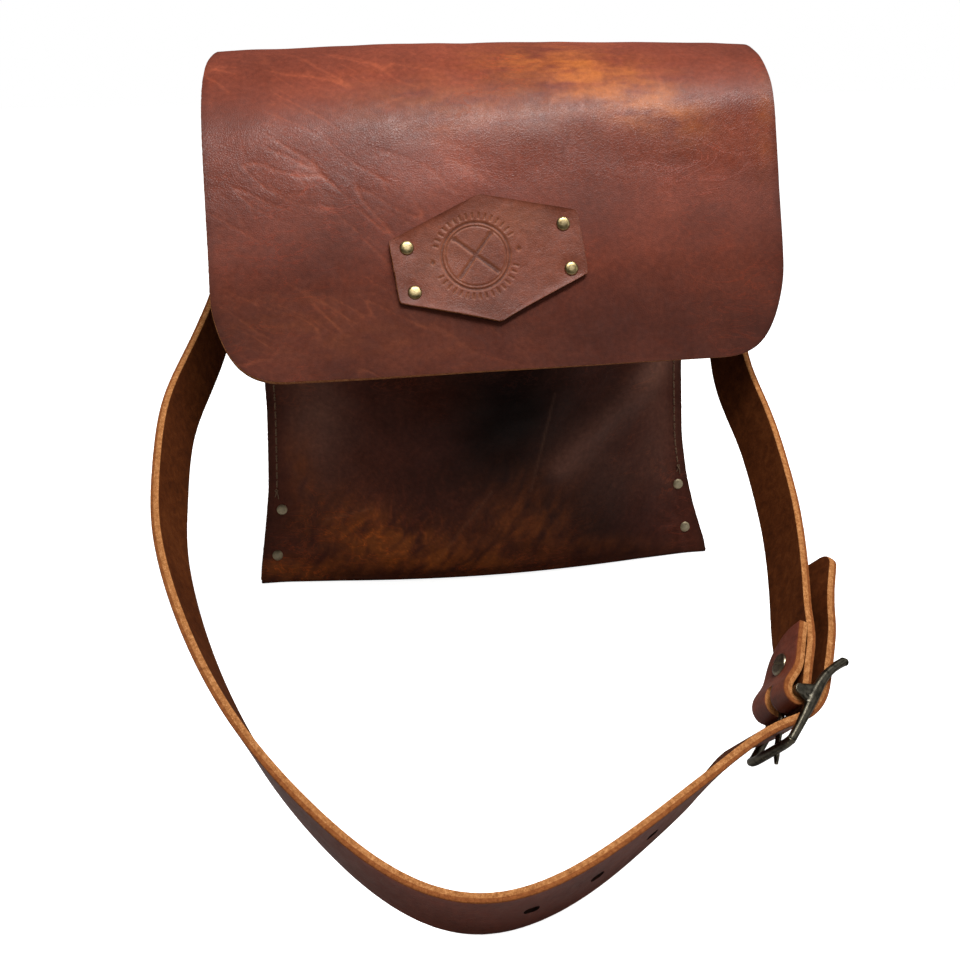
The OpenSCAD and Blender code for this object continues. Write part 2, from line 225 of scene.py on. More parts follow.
# ---------------------------------------------------------------- mesh building
def make(name, verts, faces, mats, mat_index=None, uv=None, tone=None):
    me = bpy.data.meshes.new(name)
    verts = np.asarray(verts, float)
    faces = np.asarray(faces, int)
    me.from_pydata([], [], [])
    nv, nf, k = len(verts), len(faces), faces.shape[1]
    me.vertices.add(nv)
    me.vertices.foreach_set("co", verts.ravel())
    me.loops.add(nf * k)
    me.loops.foreach_set("vertex_index", faces.ravel())
    me.polygons.add(nf)
    me.polygons.foreach_set("loop_start", np.arange(0, nf * k, k))
    if mat_index is not None:
        me.polygons.foreach_set("material_index", np.asarray(mat_index, int))
    for m in mats:
        me.materials.append(m)
    me.update(calc_edges=True)
    me.validate()
    if uv is not None:
        l = me.uv_layers.new(name="UVMap")
        l.data.foreach_set("uv", np.asarray(uv, float)[faces.ravel()].ravel())
    if tone is not None:
        a = me.attributes.new("tone", "FLOAT_COLOR", "POINT")
        t = np.ones((nv, 4))
        t[:, : tone.shape[1]] = tone
        a.data.foreach_set("color", t.ravel())
    me.polygons.foreach_set("use_smooth", np.ones(len(me.polygons), bool))
    me.update()
    o = bpy.data.objects.new(name, me)
    bpy.context.scene.collection.objects.link(o)
    return o


def grid_normals(G):
    a = np.gradient(G, axis=1)
    b = np.gradient(G, axis=0)
    return unit(np.cross(a, b))


def thick(name, O, I, mats, uv, tone_o, tone_i=None, tone_e=None, rim=4, bulge=0.0003, rough=0.00012):
    """closed sheet from an outer and an inner grid; the rim is a rounded cut edge"""
    m, n = O.shape[:2]
    top = np.arange(m * n).reshape(m, n)
    bot = top + m * n
    q = lambda g: np.stack([g[:-1, :-1], g[:-1, 1:], g[1:, 1:], g[1:, :-1]], -1).reshape(-1, 4)
    per = np.concatenate([top[0, :-1], top[:-1, -1], top[-1, ::-1][:-1], top[::-1, 0][:-1]])
    ins = np.concatenate([top[1, :-1], top[:-1, -2], top[-2, ::-1][:-1], top[::-1, 1][:-1]])
    Of, If = O.reshape(-1, 3), I.reshape(-1, 3)
    out = unit(Of[per] - Of[ins] + If[per] - If[ins])
    npz = len(per)
    rings = []
    for k in range(1, rim):
        t = k / rim
        p = Of[per] * (1 - t) + If[per] * t
        b = bulge * math.sin(math.pi * t) ** 0.6
        p = p + out * (b + rough * fbm(p * 900, 5, 3)[:, None])
        rings.append(p)
    verts = np.concatenate([Of, If] + rings)
    ring_idx = [per] + [2 * m * n + k * npz + np.arange(npz) for k in range(rim - 1)] + [per + m * n]
    F = [q(top), q(bot)[:, ::-1]]
    M = [np.zeros(len(F[0])), np.ones(len(F[1]))]
    for k in range(rim):
        a, b = ring_idx[k], ring_idx[k + 1]
        a2, b2 = np.roll(a, -1), np.roll(b, -1)
        f = np.stack([a, b, b2, a2], -1)
        F.append(f)
        M.append(np.full(len(f), 2))
    uvf = uv.reshape(-1, 2)
    uvr = [uvf[per] + out[:, :2] * 0.001 * k for k in range(1, rim)]
    UV = np.concatenate([uvf, uvf] + uvr)
    to = tone_o.reshape(-1, 3)
    ti = to if tone_i is None else np.broadcast_to(tone_i, to.shape)
    te = np.broadcast_to(V3(0.3, 0.15, 0.07) if tone_e is None else tone_e, (npz, 3))
    TN = np.concatenate([to, ti] + [te] * (rim - 1))
    return make(name, verts, np.concatenate(F), mats, np.concatenate(M), UV, TN)


def lathe(prof, seg=40):
    """(radius, height) profile about +Z -> verts, faces"""
    prof = np.asarray(prof, float)
    a = np.linspace(0, 2 * math.pi, seg, endpoint=False)
    V = np.stack([prof[:, 0, None] * np.cos(a), prof[:, 0, None] * np.sin(a), np.repeat(prof[:, 1, None], seg, 1)], -1).reshape(-1, 3)
    n = len(prof)
    i = np.arange(n * seg).reshape(n, seg)
    F = np.stack([i[:-1], np.roll(i[:-1], -1, 1), np.roll(i[1:], -1, 1), i[1:]], -1).reshape(-1, 4)
    return V, F


def place(V, o, X, Y, Z):
    return np.asarray(o) + V[:, :1] * X + V[:, 1:2] * Y + V[:, 2:] * Z


def basis(Z, hint=(0, 0, 1)):
    Z = unit(Z)
    X = unit(np.cross(hint, Z))
    return X, np.cross(Z, X), Z


def merge(parts):
    V, F, k = [], [], 0
    for v, f in parts:
        V.append(v)
        F.append(f + k)
        k += len(v)
    return np.concatenate(V), np.concatenate(F)


# ---------------------------------------------------------------- materials
def nodes_of(name):
    m = bpy.data.materials.new(name)
    m.use_nodes = True
    t = m.node_tree
    t.nodes.clear()
    out = t.nodes.new("ShaderNodeOutputMaterial")
    b = t.nodes.new("ShaderNodeBsdfPrincipled")
    t.links.new(b.outputs[0], out.inputs[0])
    return m, t, b


def N(t, kind, **kw):
    n = t.nodes.new(kind)
    for k, v in kw.items():
        if k.startswith("i_"):
            key = k[2:]
            n.inputs[int(key) if key.isdigit() else key.replace("_", " ")].default_value = v
        else:
            setattr(n, k, v)
    return n


def tex_noise(t, vec, scale, detail=4, rough=0.55, dist=0.0):
    n = N(t, "ShaderNodeTexNoise")
    n.inputs["Scale"].default_value = scale
    n.inputs["Detail"].default_value = detail
    n.inputs["Roughness"].default_value = rough
    n.inputs["Distortion"].default_value = dist
    t.links.new(vec, n.inputs["Vector"])
    return n


def ramp(t, src, stops):
    r = N(t, "ShaderNodeValToRGB")
    e = r.color_ramp.elements
    while len(e) < len(stops):
        e.new(0.5)
    for k, (p, c) in enumerate(stops):
        e[k].position = p
        e[k].color = (*c, 1) if len(c) == 3 else c
    t.links.new(src, r.inputs[0])
    return r


def mixrgb(t, mode, fac, a, b):
    n = N(t, "ShaderNodeMix", data_type="RGBA", blend_type=mode)
    for s, v in ((0, fac), (6, a), (7, b)):
        if isinstance(v, (int, float)):
            n.inputs[s].default_value = v
        elif isinstance(v, tuple):
            n.inputs[s].default_value = (*v, 1)
        else:
            t.links.new(v, n.inputs[s])
    return n.outputs[2]


def math_n(t, op, a, b=0.0, c=None):
    n = N(t, "ShaderNodeMath", operation=op)
    for s, v in enumerate((a, b) if c is None else (a, b, c)):
        if isinstance(v, (int, float)):
            n.inputs[s].default_value = v
        else:
            t.links.new(v, n.inputs[s])
    return n.outputs[0]


def leather_grain(name, rough=0.42, mottle=0.25, grain=0.25, spec=0.5, crease=0.5, bump=1.0, vscale=48, vtint=(2.3, 1.5, 0.95), band=None):
    """waxed pull-up hide: tone painted per vertex, clouds, fine pores, light crease lines"""
    m, t, b = nodes_of(name)
    uv = N(t, "ShaderNodeUVMap").outputs[0]
    at = N(t, "ShaderNodeAttribute", attribute_name="tone").outputs["Color"]
    cloud = tex_noise(t, uv, 22, 6, 0.6, 0.6)
    fine = tex_noise(t, uv, 260, 5, 0.6)
    streak = tex_noise(t, uv, 75, 5, 0.65, 1.2)
    c1 = ramp(t, cloud.outputs[0], [(0.28, (0.70, 0.62, 0.60)), (0.52, (1, 1, 1)), (0.75, (1.35, 1.42, 1.35))])
    col = mixrgb(t, "MULTIPLY", mottle * 2, at, c1.outputs[0])
    c2 = ramp(t, fine.outputs[0], [(0.3, (0.74, 0.71, 0.7)), (0.55, (1, 1, 1)), (0.75, (1.25, 1.28, 1.28))])
    col = mixrgb(t, "MULTIPLY", 0.8, col, c2.outputs[0])
    # crease lines where the wax has moved and the hide shows lighter
    sm = N(t, "ShaderNodeMapping")
    sm.inputs["Rotation"].default_value = (0, 0, 0.6)
    sm.inputs["Scale"].default_value = (0.55, 1.5, 1)
    t.links.new(uv, sm.inputs[0])
    vein = tex_noise(t, sm.outputs[0], vscale, 7, 0.62, 0.9)
    v1 = math_n(t, "ABSOLUTE", math_n(t, "SUBTRACT", vein.outputs[0], 0.5))
    v2 = ramp(t, v1, [(0.0, (1, 1, 1)), (0.016, (0, 0, 0))])
    gate = ramp(t, tex_noise(t, uv, 9, 3, 0.5).outputs[0], [(0.48, (0, 0, 0)), (0.62, (1, 1, 1))])
    vg = math_n(t, "MULTIPLY", v2.outputs[0], gate.outputs[0])
    vc = math_n(t, "MULTIPLY", vg, crease)
    col = mixrgb(t, "MIX", math_n(t, "MULTIPLY", vc, 0.5), col, mixrgb(t, "MULTIPLY", 1.0, at, vtint))
    t.links.new(col, b.inputs["Base Color"])
    r = math_n(t, "MULTIPLY_ADD", streak.outputs[0], 0.34, rough - 0.17)
    if band:
        # burnished smoother across the bend, duller above and below it
        sx = N(t, "ShaderNodeSeparateXYZ")
        t.links.new(uv, sx.inputs[0])
        rb = ramp(t, math_n(t, "MULTIPLY", sx.outputs[1], 2.0), [(band[0] * 2, (1, 1, 1)), (band[1] * 2, (0, 0, 0)), (band[2] * 2, (0, 0, 0)), (band[3] * 2, (1, 1, 1))])
        r = math_n(t, "MULTIPLY_ADD", rb.outputs[0], band[4], r)
    t.links.new(r, b.inputs["Roughness"])
    b.inputs["Specular IOR Level"].default_value = spec
    b.inputs["Coat Weight"].default_value = 0.0
    b.inputs["Coat Roughness"].default_value = 0.3
    vor = N(t, "ShaderNodeTexVoronoi", feature="DISTANCE_TO_EDGE")
    vor.inputs["Scale"].default_value = 620
    t.links.new(uv, vor.inputs["Vector"])
    pore = math_n(t, "MINIMUM", vor.outputs["Distance"], 0.18)
    h = math_n(t, "MULTIPLY_ADD", pore, 2.2 * grain, math_n(t, "MULTIPLY", fine.outputs[0], 0.8 * grain))
    h = math_n(t, "MULTIPLY_ADD", streak.outputs[0], 0.9 * grain, h)
    h = math_n(t, "MULTIPLY_ADD", vg, -0.35 * crease, h)
    bp_ = N(t, "ShaderNodeBump")
    bp_.inputs["Strength"].default_value = 0.42 * bump
    bp_.inputs["Distance"].default_value = 0.0012
    t.links.new(h, bp_.inputs["Height"])
    t.links.new(bp_.outputs[0], b.inputs["Normal"])
    return m


def leather_flesh(name, c0, c1, c2):
    m, t, b = nodes_of(name)
    uv = N(t, "ShaderNodeUVMap").outputs[0]
    a = tex_noise(t, uv, 160, 8, 0.7, 0.5)
    a2 = tex_noise(t, uv, 18, 4, 0.6, 0.3)
    f = math_n(t, "ADD", math_n(t, "MULTIPLY", a.outputs[0], 0.6), math_n(t, "MULTIPLY", a2.outputs[0], 0.4))
    r = ramp(t, f, [(0.34, c0), (0.5, c1), (0.68, c2)])
    t.links.new(r.outputs[0], b.inputs["Base Color"])
    b.inputs["Roughness"].default_value = 0.8
    b.inputs["Specular IOR Level"].default_value = 0.06
    bu = N(t, "ShaderNodeBump")
    bu.inputs["Strength"].default_value = 0.5
    bu.inputs["Distance"].default_value = 0.0006
    t.links.new(tex_noise(t, uv, 420, 6, 0.75).outputs[0], bu.inputs["Height"])
    t.links.new(bu.outputs[0], b.inputs["Normal"])
    return m


def leather_edge(name, c0, c1, c2, scale=900):
    """raw cut edge: packed fibres, flecked light and dark"""
    m, t, b = nodes_of(name)
    g = N(t, "ShaderNodeNewGeometry").outputs["Position"]
    a = tex_noise(t, g, scale, 6, 0.8, 0.8)
    a2 = tex_noise(t, g, scale * 0.28, 4, 0.7)
    f = math_n(t, "ADD", math_n(t, "MULTIPLY", a.outputs[0], 0.55), math_n(t, "MULTIPLY", a2.outputs[0], 0.45))
    r = ramp(t, f, [(0.36, c0), (0.5, c1), (0.63, c2)])
    t.links.new(r.outputs[0], b.inputs["Base Color"])
    b.inputs["Roughness"].default_value = 0.86
    b.inputs["Specular IOR Level"].default_value = 0.2
    bu = N(t, "ShaderNodeBump")
    bu.inputs["Strength"].default_value = 0.75
    bu.inputs["Distance"].default_value = 0.0008
    t.links.new(f, bu.inputs["Height"])
    t.links.new(bu.outputs[0], b.inputs["Normal"])
    return m


def metal(name, base, dark, rough=0.32, worn=None):
    m, t, b = nodes_of(name)
    g = N(t, "ShaderNodeNewGeometry")
    a = tex_noise(t, g.outputs["Position"], 260, 6, 0.65)
    r = ramp(t, a.outputs[0], [(0.36, dark), (0.58, base)])
    col = r.outputs[0]
    point = ramp(t, g.outputs["Pointiness"], [(0.50, (0, 0, 0)), (0.60, (1, 1, 1))])
    if worn:
        col = mixrgb(t, "MIX", math_n(t, "MULTIPLY", point.outputs[0], 0.55), col, worn)
    t.links.new(col, b.inputs["Base Color"])
    b.inputs["Metallic"].default_value = 1.0
    rr = math_n(t, "MULTIPLY_ADD", a.outputs[0], 0.3, rough - 0.12)
    t.links.new(rr, b.inputs["Roughness"])
    bu = N(t, "ShaderNodeBump")
    bu.inputs["Strength"].default_value = 0.18
    bu.inputs["Distance"].default_value = 0.0004
    t.links.new(tex_noise(t, g.outputs["Position"], 500, 5, 0.7).outputs[0], bu.inputs["Height"])
    t.links.new(bu.outputs[0], b.inputs["Normal"])
    return m


def thread_mat(name, c0, c1):
    m, t, b = nodes_of(name)
    g = N(t, "ShaderNodeNewGeometry").outputs["Position"]
    w = N(t, "ShaderNodeTexWave", wave_type="BANDS", bands_direction="DIAGONAL")
    w.inputs["Scale"].default_value = 900
    w.inputs["Distortion"].default_value = 1.5
    t.links.new(g, w.inputs["Vector"])
    r = ramp(t, w.outputs[0], [(0.2, c0), (0.8, c1)])
    t.links.new(r.outputs[0], b.inputs["Base Color"])
    b.inputs["Roughness"].default_value = 0.6
    bu = N(t, "ShaderNodeBump")
    bu.inputs["Strength"].default_value = 0.5
    bu.inputs["Distance"].default_value = 0.0003
    t.links.new(w.outputs[0], bu.inputs["Height"])
    t.links.new(bu.outputs[0], b.inputs["Normal"])
    return m


M_FLAP = leather_grain("leather_flap_grain", rough=0.37, mottle=0.22, grain=0.36, spec=0.36, crease=0.7, bump=0.8, band=(0.17, 0.215, 0.255, 0.32, 0.55))
M_POUCH = leather_grain("leather_pouch_grain", rough=0.46, mottle=0.32, grain=0.3, spec=0.2, crease=1.1, vscale=62, vtint=(3.6, 2.5, 1.5))
M_STRAP = leather_grain("leather_strap_grain", rough=0.42, mottle=0.16, grain=0.22, spec=0.36, crease=0.3)
M_PATCH = leather_grain("leather_patch_grain", rough=0.46, mottle=0.15, grain=0.3, spec=0.3, crease=0.25)
M_FLESH = leather_flesh("leather_flesh", (0.042, 0.0105, 0.003), (0.08, 0.02, 0.005), (0.13, 0.036, 0.009))
M_FLESH_IN = leather_flesh("leather_flesh_dark", (0.012, 0.006, 0.004), (0.024, 0.011, 0.007), (0.045, 0.02, 0.011))
M_EDGE = leather_edge("leather_edge_tan", (0.17, 0.054, 0.013), (0.40, 0.155, 0.045), (0.66, 0.32, 0.125), 1500)
M_EDGE_B = leather_edge("leather_edge_burnished", (0.13, 0.035, 0.009), (0.25, 0.075, 0.018), (0.36, 0.13, 0.035), 1500)
M_EDGE_F = leather_edge("leather_edge_flap", (0.14, 0.042, 0.015), (0.36, 0.125, 0.042), (0.56, 0.25, 0.10), 1400)
M_EDGE_D = leather_edge("leather_edge_dark", (0.03, 0.011, 0.006), (0.09, 0.03, 0.014), (0.22, 0.08, 0.032), 1200)
# near-black walls of the punched strap holes: painted shade inside the holes
M_HOLE_SHADE = leather_edge("leather_hole_wall_shade", (0.008, 0.004, 0.003), (0.02, 0.008, 0.005), (0.05, 0.02, 0.01))
M_BRASS = metal("antique_brass", (0.56, 0.43, 0.21), (0.30, 0.22, 0.10), 0.34, (0.74, 0.6, 0.34))
M_DARK = metal("dark_brass", (0.115, 0.104, 0.08), (0.034, 0.031, 0.025), 0.32, (0.44, 0.36, 0.22))
M_BRASS_L = metal("worn_brass", (0.86, 0.74, 0.5), (0.55, 0.45, 0.28), 0.5, (0.9, 0.82, 0.6))
M_STEELY = metal("screw_brass", (0.36, 0.31, 0.22), (0.15, 0.125, 0.085), 0.32, (0.62, 0.53, 0.36))
M_THREAD = thread_mat("waxed_thread", (0.07, 0.036, 0.02), (0.40, 0.23, 0.13))
mm = 0.001

# ---------------------------------------------------------------- flap
FL = [[82.6, 330], [86.6, 348], [90, 366], [83, 388], [61, 403], [34, 408], [4, 402], [-26, 383], [-48, 360], [-69, 325], [-88, 287], [-113, 250], [-143, 215]]
FR = [[82.6, 330], [86.6, 348], [90, 366], [83, 388], [62, 402], [34, 408], [4, 407], [-25, 396], [-45, 377], [-63, 337], [-80, 295], [-97, 252], [-113, 210]]
FW, FT, FRAD = 394.0, 4.0, 48.0


def flap_mid(x, s):
    a = (x / FW + 0.5)[..., None]
    p = curve(FL, s) * (1 - a) + curve(FR, s) * a
    v = 2 * x / FW
    k = np.maximum(0, 1 - np.abs(s - 5.5) / 3.2)
    return np.stack([x, p[..., 0], p[..., 1] + 4 * (1 - v * v) * k * k * (3 - 2 * k)], -1)


def flap_nrm(x, s):
    d = flap_mid(x, np.minimum(s + 0.05, 12)) - flap_mid(x, np.maximum(s - 0.05, 0))
    e = flap_mid(x + 2, s) - flap_mid(x - 2, s)
    return unit(np.cross(e, -d)) * -1 if False else unit(np.cross(d, e)) * -1


def build_flap():
    st = 2.4 if Q else 1.5
    ss = np.linspace(0, 12, 1201)
    L = np.concatenate([[0], np.cumsum(np.linalg.norm(np.diff(curve(FL, ss), axis=0), axis=1))])
    s_c = 12 - FRAD / 0.74 / 45.5
    arc_c = np.interp(s_c, ss, L)
    rows = list(np.interp(np.concatenate([[0, 0.4, 1.0], np.arange(2, arc_c, st)]), L, ss))
    ph = np.linspace(0, math.pi / 2, 40 if Q else 62)
    rows += list(12 - (FRAD / 0.74) * (1 - np.sin(ph)) / 45.5)
    rows = np.array(rows)
    # the last rows keep fine steps at the front edge from the quarter-sine spacing above
    fine = rows[-1] - np.array([0.0])
    q = np.maximum(FRAD - 0.74 * (12 - rows) * 45.5, 0)
    half = FW / 2 - FRAD + np.sqrt(np.maximum(FRAD ** 2 - q ** 2, 0.01))
    n = int(FW / st)
    uu = np.linspace(-1, 1, n + 1)
    e = 1 - np.array([0.0, 0.0018, 0.0045])
    uu = np.unique(np.concatenate([uu[2:-2], e, -e]))
    X = half[:, None] * uu[None]
    # the crest on the left is drawn in a little
    S = np.repeat(rows[:, None], len(uu), 1)
    X = X + 8.5 * np.exp(-((S - 4.9) / 1.15) ** 2) * smooth(-uu, 0.2, 1.0)[None]
    Pm = flap_mid(X, S)
    Nn = flap_nrm(X, S)
    if Nn[len(rows) // 2, len(uu) // 2, 1] > 0 and Nn[len(rows) // 2, len(uu) // 2, 2] < 0:
        Nn = -Nn
    arc = np.interp(S, ss, L)
    fr = smooth(S, 2.2, 4.5)
    W2 = np.stack([X / 95, arc / 80, 0 * X], -1)
    wave = 1.1 * fbm(W2, 3, 3) * fr
    edge_wave = 1.0 * noise(np.stack([X / 46, 0 * X, 0 * X + 2], -1), 9) * smooth(S, 11, 12)
    # shallow diagonal creases on the left and lower left
    ca, sa = math.cos(0.62), math.sin(0.62)
    wx = X + 9 * noise(np.stack([X / 60, arc / 60, 0 * X], -1), 21)
    wy = arc + 9 * noise(np.stack([X / 60, arc / 60, 0 * X], -1), 22)
    A, B = (wx * ca + wy * sa), (-wx * sa + wy * ca)
    rd = 1 - np.abs(noise(np.stack([A / 64, B / 13, 0 * A], -1), 31)) * 9
    rd2 = 1 - np.abs(noise(np.stack([A / 34, B / 7, 0 * A], -1), 33)) * 9
    rd = np.clip(rd, 0, 1) ** 2 + 0.5 * np.clip(rd2, 0, 1) ** 2
    left = smooth(-X, -20, 110)
    low = smooth(S, 7.6, 10.5)
    msk = np.clip(left * smooth(S, 5.2, 6.5) * 0.9 + low * 0.35 * smooth(-X, -150, 60), 0, 1) * smooth(noise(np.stack([X / 38, arc / 38, 0 * X], -1), 41), -0.28, 0.25)
    crease = rd * msk
    # small wrinkles gathered on the right of the bend
    wr = np.exp(-(((X - 78) / 62) ** 2 + ((S - 6.9) / 1.25) ** 2))
    fine_w = noise(np.stack([X / 5.2, arc / 15, 0 * X], -1), 51) * wr
    disp = wave + edge_wave - 0.32 * crease + 0.16 * fine_w
    Pm = Pm + Nn * disp[..., None]
    O = (Pm + Nn * FT / 2) * mm
    I = (Pm - Nn * FT / 2) * mm
    px, py = pxy(O)
    g = lambda cx, cy, rx, ry, rot=0.0: np.exp(-((((px - cx) * math.cos(rot) + (py - cy) * math.sin(rot)) / rx) ** 2 + ((-(px - cx) * math.sin(rot) + (py - cy) * math.cos(rot)) / ry) ** 2))
    base = V3(0.168, 0.033, 0.0155)
    T = np.ones(O.shape) * base
    back = smooth(S, 2.6, 4.0)[..., None]
    # painted shade: the flap darkened down its lower part, toward the front edge
    low_flap_shade = (smooth(py, 175, 340) * 0.53)[..., None]
    T = T * (1 - low_flap_shade * V3(1, 0.9, 0.85))
    cl = fbm(np.stack([X / 70, arc / 55, 0 * X], -1), 61, 4)
    T = T * (1 + 0.24 * np.clip(cl, -1, 1))[..., None]
    orange = 0.9 * g(612, 88, 62, 26, 0.25) + 0.6 * g(545, 66, 62, 15, 0.1) + 0.42 * g(675, 118, 40, 22, 0.4) + 0.3 * g(470, 105, 120, 28) + 0.3 * g(765, 115, 10, 50) + 0.07 * g(330, 330, 130, 36, 0.1)
    orange = np.clip(orange * (0.75 + 0.9 * fbm(np.stack([X / 26, arc / 9, 0 * X], -1), 71, 3)), 0, 1)[..., None] * back
    T = T * (1 - orange) + V3(0.37, 0.098, 0.019) * orange
    # painted sheen: lighter patches across the bend and near the top; the darker patch at the lower left is painted
    # shade
    flap_sheen_and_shade = np.clip(0.5 * g(445, 175, 40, 45) + 0.45 * g(380, 85, 70, 25) - 0.35 * g(350, 230, 60, 60), -1, 1)[..., None]
    T = T * (1 + 0.35 * flap_sheen_and_shade)
    cz = np.clip(crease * 0.5, 0, 0.7)[..., None]
    T = T * (1 - cz) + np.minimum(T * V3(2.1, 2.3, 2.0), V3(0.42, 0.15, 0.075)) * cz
    T = T * (1 + 0.16 * fine_w[..., None])
    # darker along the cut edges where they are handled
    ed = (smooth(np.abs(uu), 0.965, 1.0)[None] * 0.25 * np.ones_like(S))[..., None]
    T = T * (1 - ed)
    uv = np.stack([X * mm, arc * mm], -1)
    return thick("flap_hide", O, I, [M_FLAP, M_FLESH_IN, M_EDGE_F], uv, T, V3(0.03, 0.014, 0.008), V3(0.26, 0.095, 0.04), rim=5, bulge=0.0004, rough=0.0002)


flap = build_flap()
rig.replaces(flap, "flap", "flap_tab")
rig.slot(flap, "leather_flap")
S0 = V3(0, 0.084, 0.350)
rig.blend(flap, "bag", "flap", start=tuple(S0), end=(0, 0.0615, 0.3905))

# ---------------------------------------------------------------- patch
PW, PH, PT, TURN = 130.0, 87.0, 2.4, math.radians(6)
PS, PX, MS = 10.27, -12.0, 44.5


def patch_xs(a, b):
    x = PX + a * math.cos(TURN) - b * math.sin(TURN)
    s = PS - (a * math.sin(TURN) + b * math.cos(TURN)) / MS
    return x, s


def seg_d(a, b, p0, p1):
    p0, p1 = V3(*p0), V3(*p1)
    d = p1 - p0
    t = np.clip(((a - p0[0]) * d[0] + (b - p0[1]) * d[1]) / (d @ d), 0, 1)
    return np.hypot(a - p0[0] - t * d[0], b - p0[1] - t * d[1]), t


def build_patch():
    st = 1.0 if Q else 0.55
    f = PH / 2
    qv = f - 22
    bb = np.linspace(-f, f, int(PH / st))
    bb = np.unique(np.concatenate([bb[1:-1], [-f, -f + 0.35, f - 0.35, f]]))
    h = np.where(np.abs(bb) <= qv, PW / 2, PW / 2 * (f - np.abs(bb)) / (f - qv) + 0.9)
    h = h - 0.7 * np.exp(-((np.abs(bb) - qv) / 1.6) ** 2)
    n = int(PW / st)
    uu = np.linspace(-1, 1, n + 1)
    uu = np.unique(np.concatenate([uu[1:-1], [-1, -0.995, 0.995, 1]]))
    A = h[:, None] * uu
    B = np.repeat(bb[:, None], len(uu), 1)
    A = A + 0.35 * noise(np.stack([B / 9, A / 400, 0 * A], -1), 3) * smooth(np.abs(uu), 0.8, 1)[None]
    x, s = patch_xs(A, B)
    Pm = flap_mid(x, s)
    Nn = flap_nrm(x, s)
    c = (len(bb) // 2, len(uu) // 2)
    if Nn[c][1] > 0:
        Nn = -Nn
    # the waviness of the flap under it
    ss = np.linspace(0, 12, 1201)
    L = np.concatenate([[0], np.cumsum(np.linalg.norm(np.diff(curve(FL, ss), axis=0), axis=1))])
    arc = np.interp(s, ss, L)
    wave = 1.1 * fbm(np.stack([x / 95, arc / 80, 0 * x], -1), 3, 3)
    # hexagon edge distance for the lifted rim
    ed = np.minimum(h[:, None] - np.abs(A), (f - np.abs(B)) * 0.9 + 0.2)
    lift = 1.2 * np.exp(-np.clip(ed, 0, 40) / 6.0) * (0.55 + 0.45 * noise(np.stack([A / 26, B / 26, 0 * A], -1), 8))
    lift += 0.5 * smooth(-B, 20, 42)
    a, b = A + 9.0, B - 2.0
    rr = np.hypot(a, b)
    line = lambda d, w: 1 - smooth(d, w * 0.45, w)
    deb = line(np.abs(rr - 23.0), 1.3) + 0.75 * line(np.abs(rr - 20.6), 0.8)
    inner = smooth(rr, 19.4, 18.6)
    for sgn in (-1, 1):
        d, t = seg_d(a, b, (-13.0 * sgn, -13.0), (11.5 * sgn, 12.5))
        w = 1.75 - 0.75 * t
        deb = np.maximum(deb, (line(d, w + 0.55) - 0.0) * (rr < 19.6))
        tip = np.hypot((a - 12.4 * sgn) / 1.0, (b - 13.4) / 1.0)
        deb = np.maximum(deb, line(tip, 2.5) * (rr < 20))
    # ring of small ticks outside, and two short bars of dots
    th = np.arctan2(b, a)
    for k in range(40):
        t0 = (k + 0.5) * 2 * math.pi / 40
        if abs(math.sin(t0)) < 0.26:
            continue
        d, _ = seg_d(a, b, (26.3 * math.cos(t0), 26.3 * math.sin(t0)), (29.3 * math.cos(t0), 29.3 * math.sin(t0)))
        deb = np.maximum(deb, 0.85 * line(d, 0.95))
    for sx in (-1, 1):
        deb = np.maximum(deb, line(np.abs(np.abs(a - sx * 29.5) + np.abs(b) * 0.8 - 0.0), 2.3))
    deb = np.clip(deb, 0, 1)
    up = 0.25 * np.exp(-((rr - 21.8) / 1.0) ** 2)
    wob = 0.12 * noise(np.stack([A / 7, B / 7, 0 * A], -1), 12)
    rv = 0
    for qa, qb in ((-54, 15), (-54, -16), (54, 14), (54, -17)):
        rv = rv - 0.75 * np.exp(-((np.hypot(A - qa, B - qb) / 7.5) ** 2))
    base = FT / 2 + 0.35
    low = base + wave + np.maximum(lift + rv * 0.4, -0.25)
    top = base + PT + wave + lift + rv - 0.62 * deb + up * (1 - deb) + wob
    O = (Pm + Nn * top[..., None]) * mm
    I = (Pm + Nn * low[..., None]) * mm
    T = np.ones(O.shape) * V3(0.165, 0.040, 0.019)
    cl = fbm(np.stack([A / 30, B / 26, 0 * A], -1), 77, 4)
    T = T * (1 + 0.22 * cl)[..., None]
    warm = np.clip(0.55 * np.exp(-(((A - 18) / 26) ** 2 + ((B - 22) / 14) ** 2)) + 0.4 * np.exp(-(((A + 30) / 22) ** 2 + ((B) / 22) ** 2)), 0, 1)[..., None]
    T = T * (1 - warm * 0.6) + V3(0.27, 0.085, 0.036) * warm * 0.6
    rim = (1 - smooth(ed, 0.2, 2.4))[..., None]
    T = T * (1 - 0.12 * rim)
    gd = np.abs(np.gradient(deb, axis=1)) + np.abs(np.gradient(deb, axis=0))
    T = T * (1 - 0.30 * deb[..., None]) + (np.clip(gd, 0, 1) * 0.10)[..., None] * V3(1, 0.42, 0.2)
    uv = np.stack([A * mm + 0.7, B * mm + 0.3], -1)
    return thick("patch_hide", O, I, [M_PATCH, M_FLESH_IN, M_EDGE_F], uv, T, V3(0.03, 0.014, 0.008), V3(0.12, 0.045, 0.02), rim=5, bulge=0.0002, rough=0.0002)


patch = build_patch()
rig.replaces(patch, "patch")
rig.slot(patch, "leather_patch")
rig.ride(patch, "flap")

# ---------------------------------------------------------------- rivets
CAPR = 4.8 * mm


def cap_prof(r, h):
    return [(0.0001 * mm, h), (r * 0.25, h * 0.995), (r * 0.48, h * 0.965), (r * 0.66, h * 0.9), (r * 0.8, h * 0.78), (r * 0.9, h * 0.62), (r * 0.965, h * 0.42), (r, h * 0.2), (r * 0.985, h * 0.04), (r * 0.93, -0.0001), (0.0001 * mm, -0.0001)]


def rivet(o, n, h=1.7 * mm, r=CAPR):
    X, Y, Z = basis(n, (0.3, 0.2, 1))
    V, F = lathe(cap_prof(r, h), 36)
    return place(V, o, X, Y, Z), F


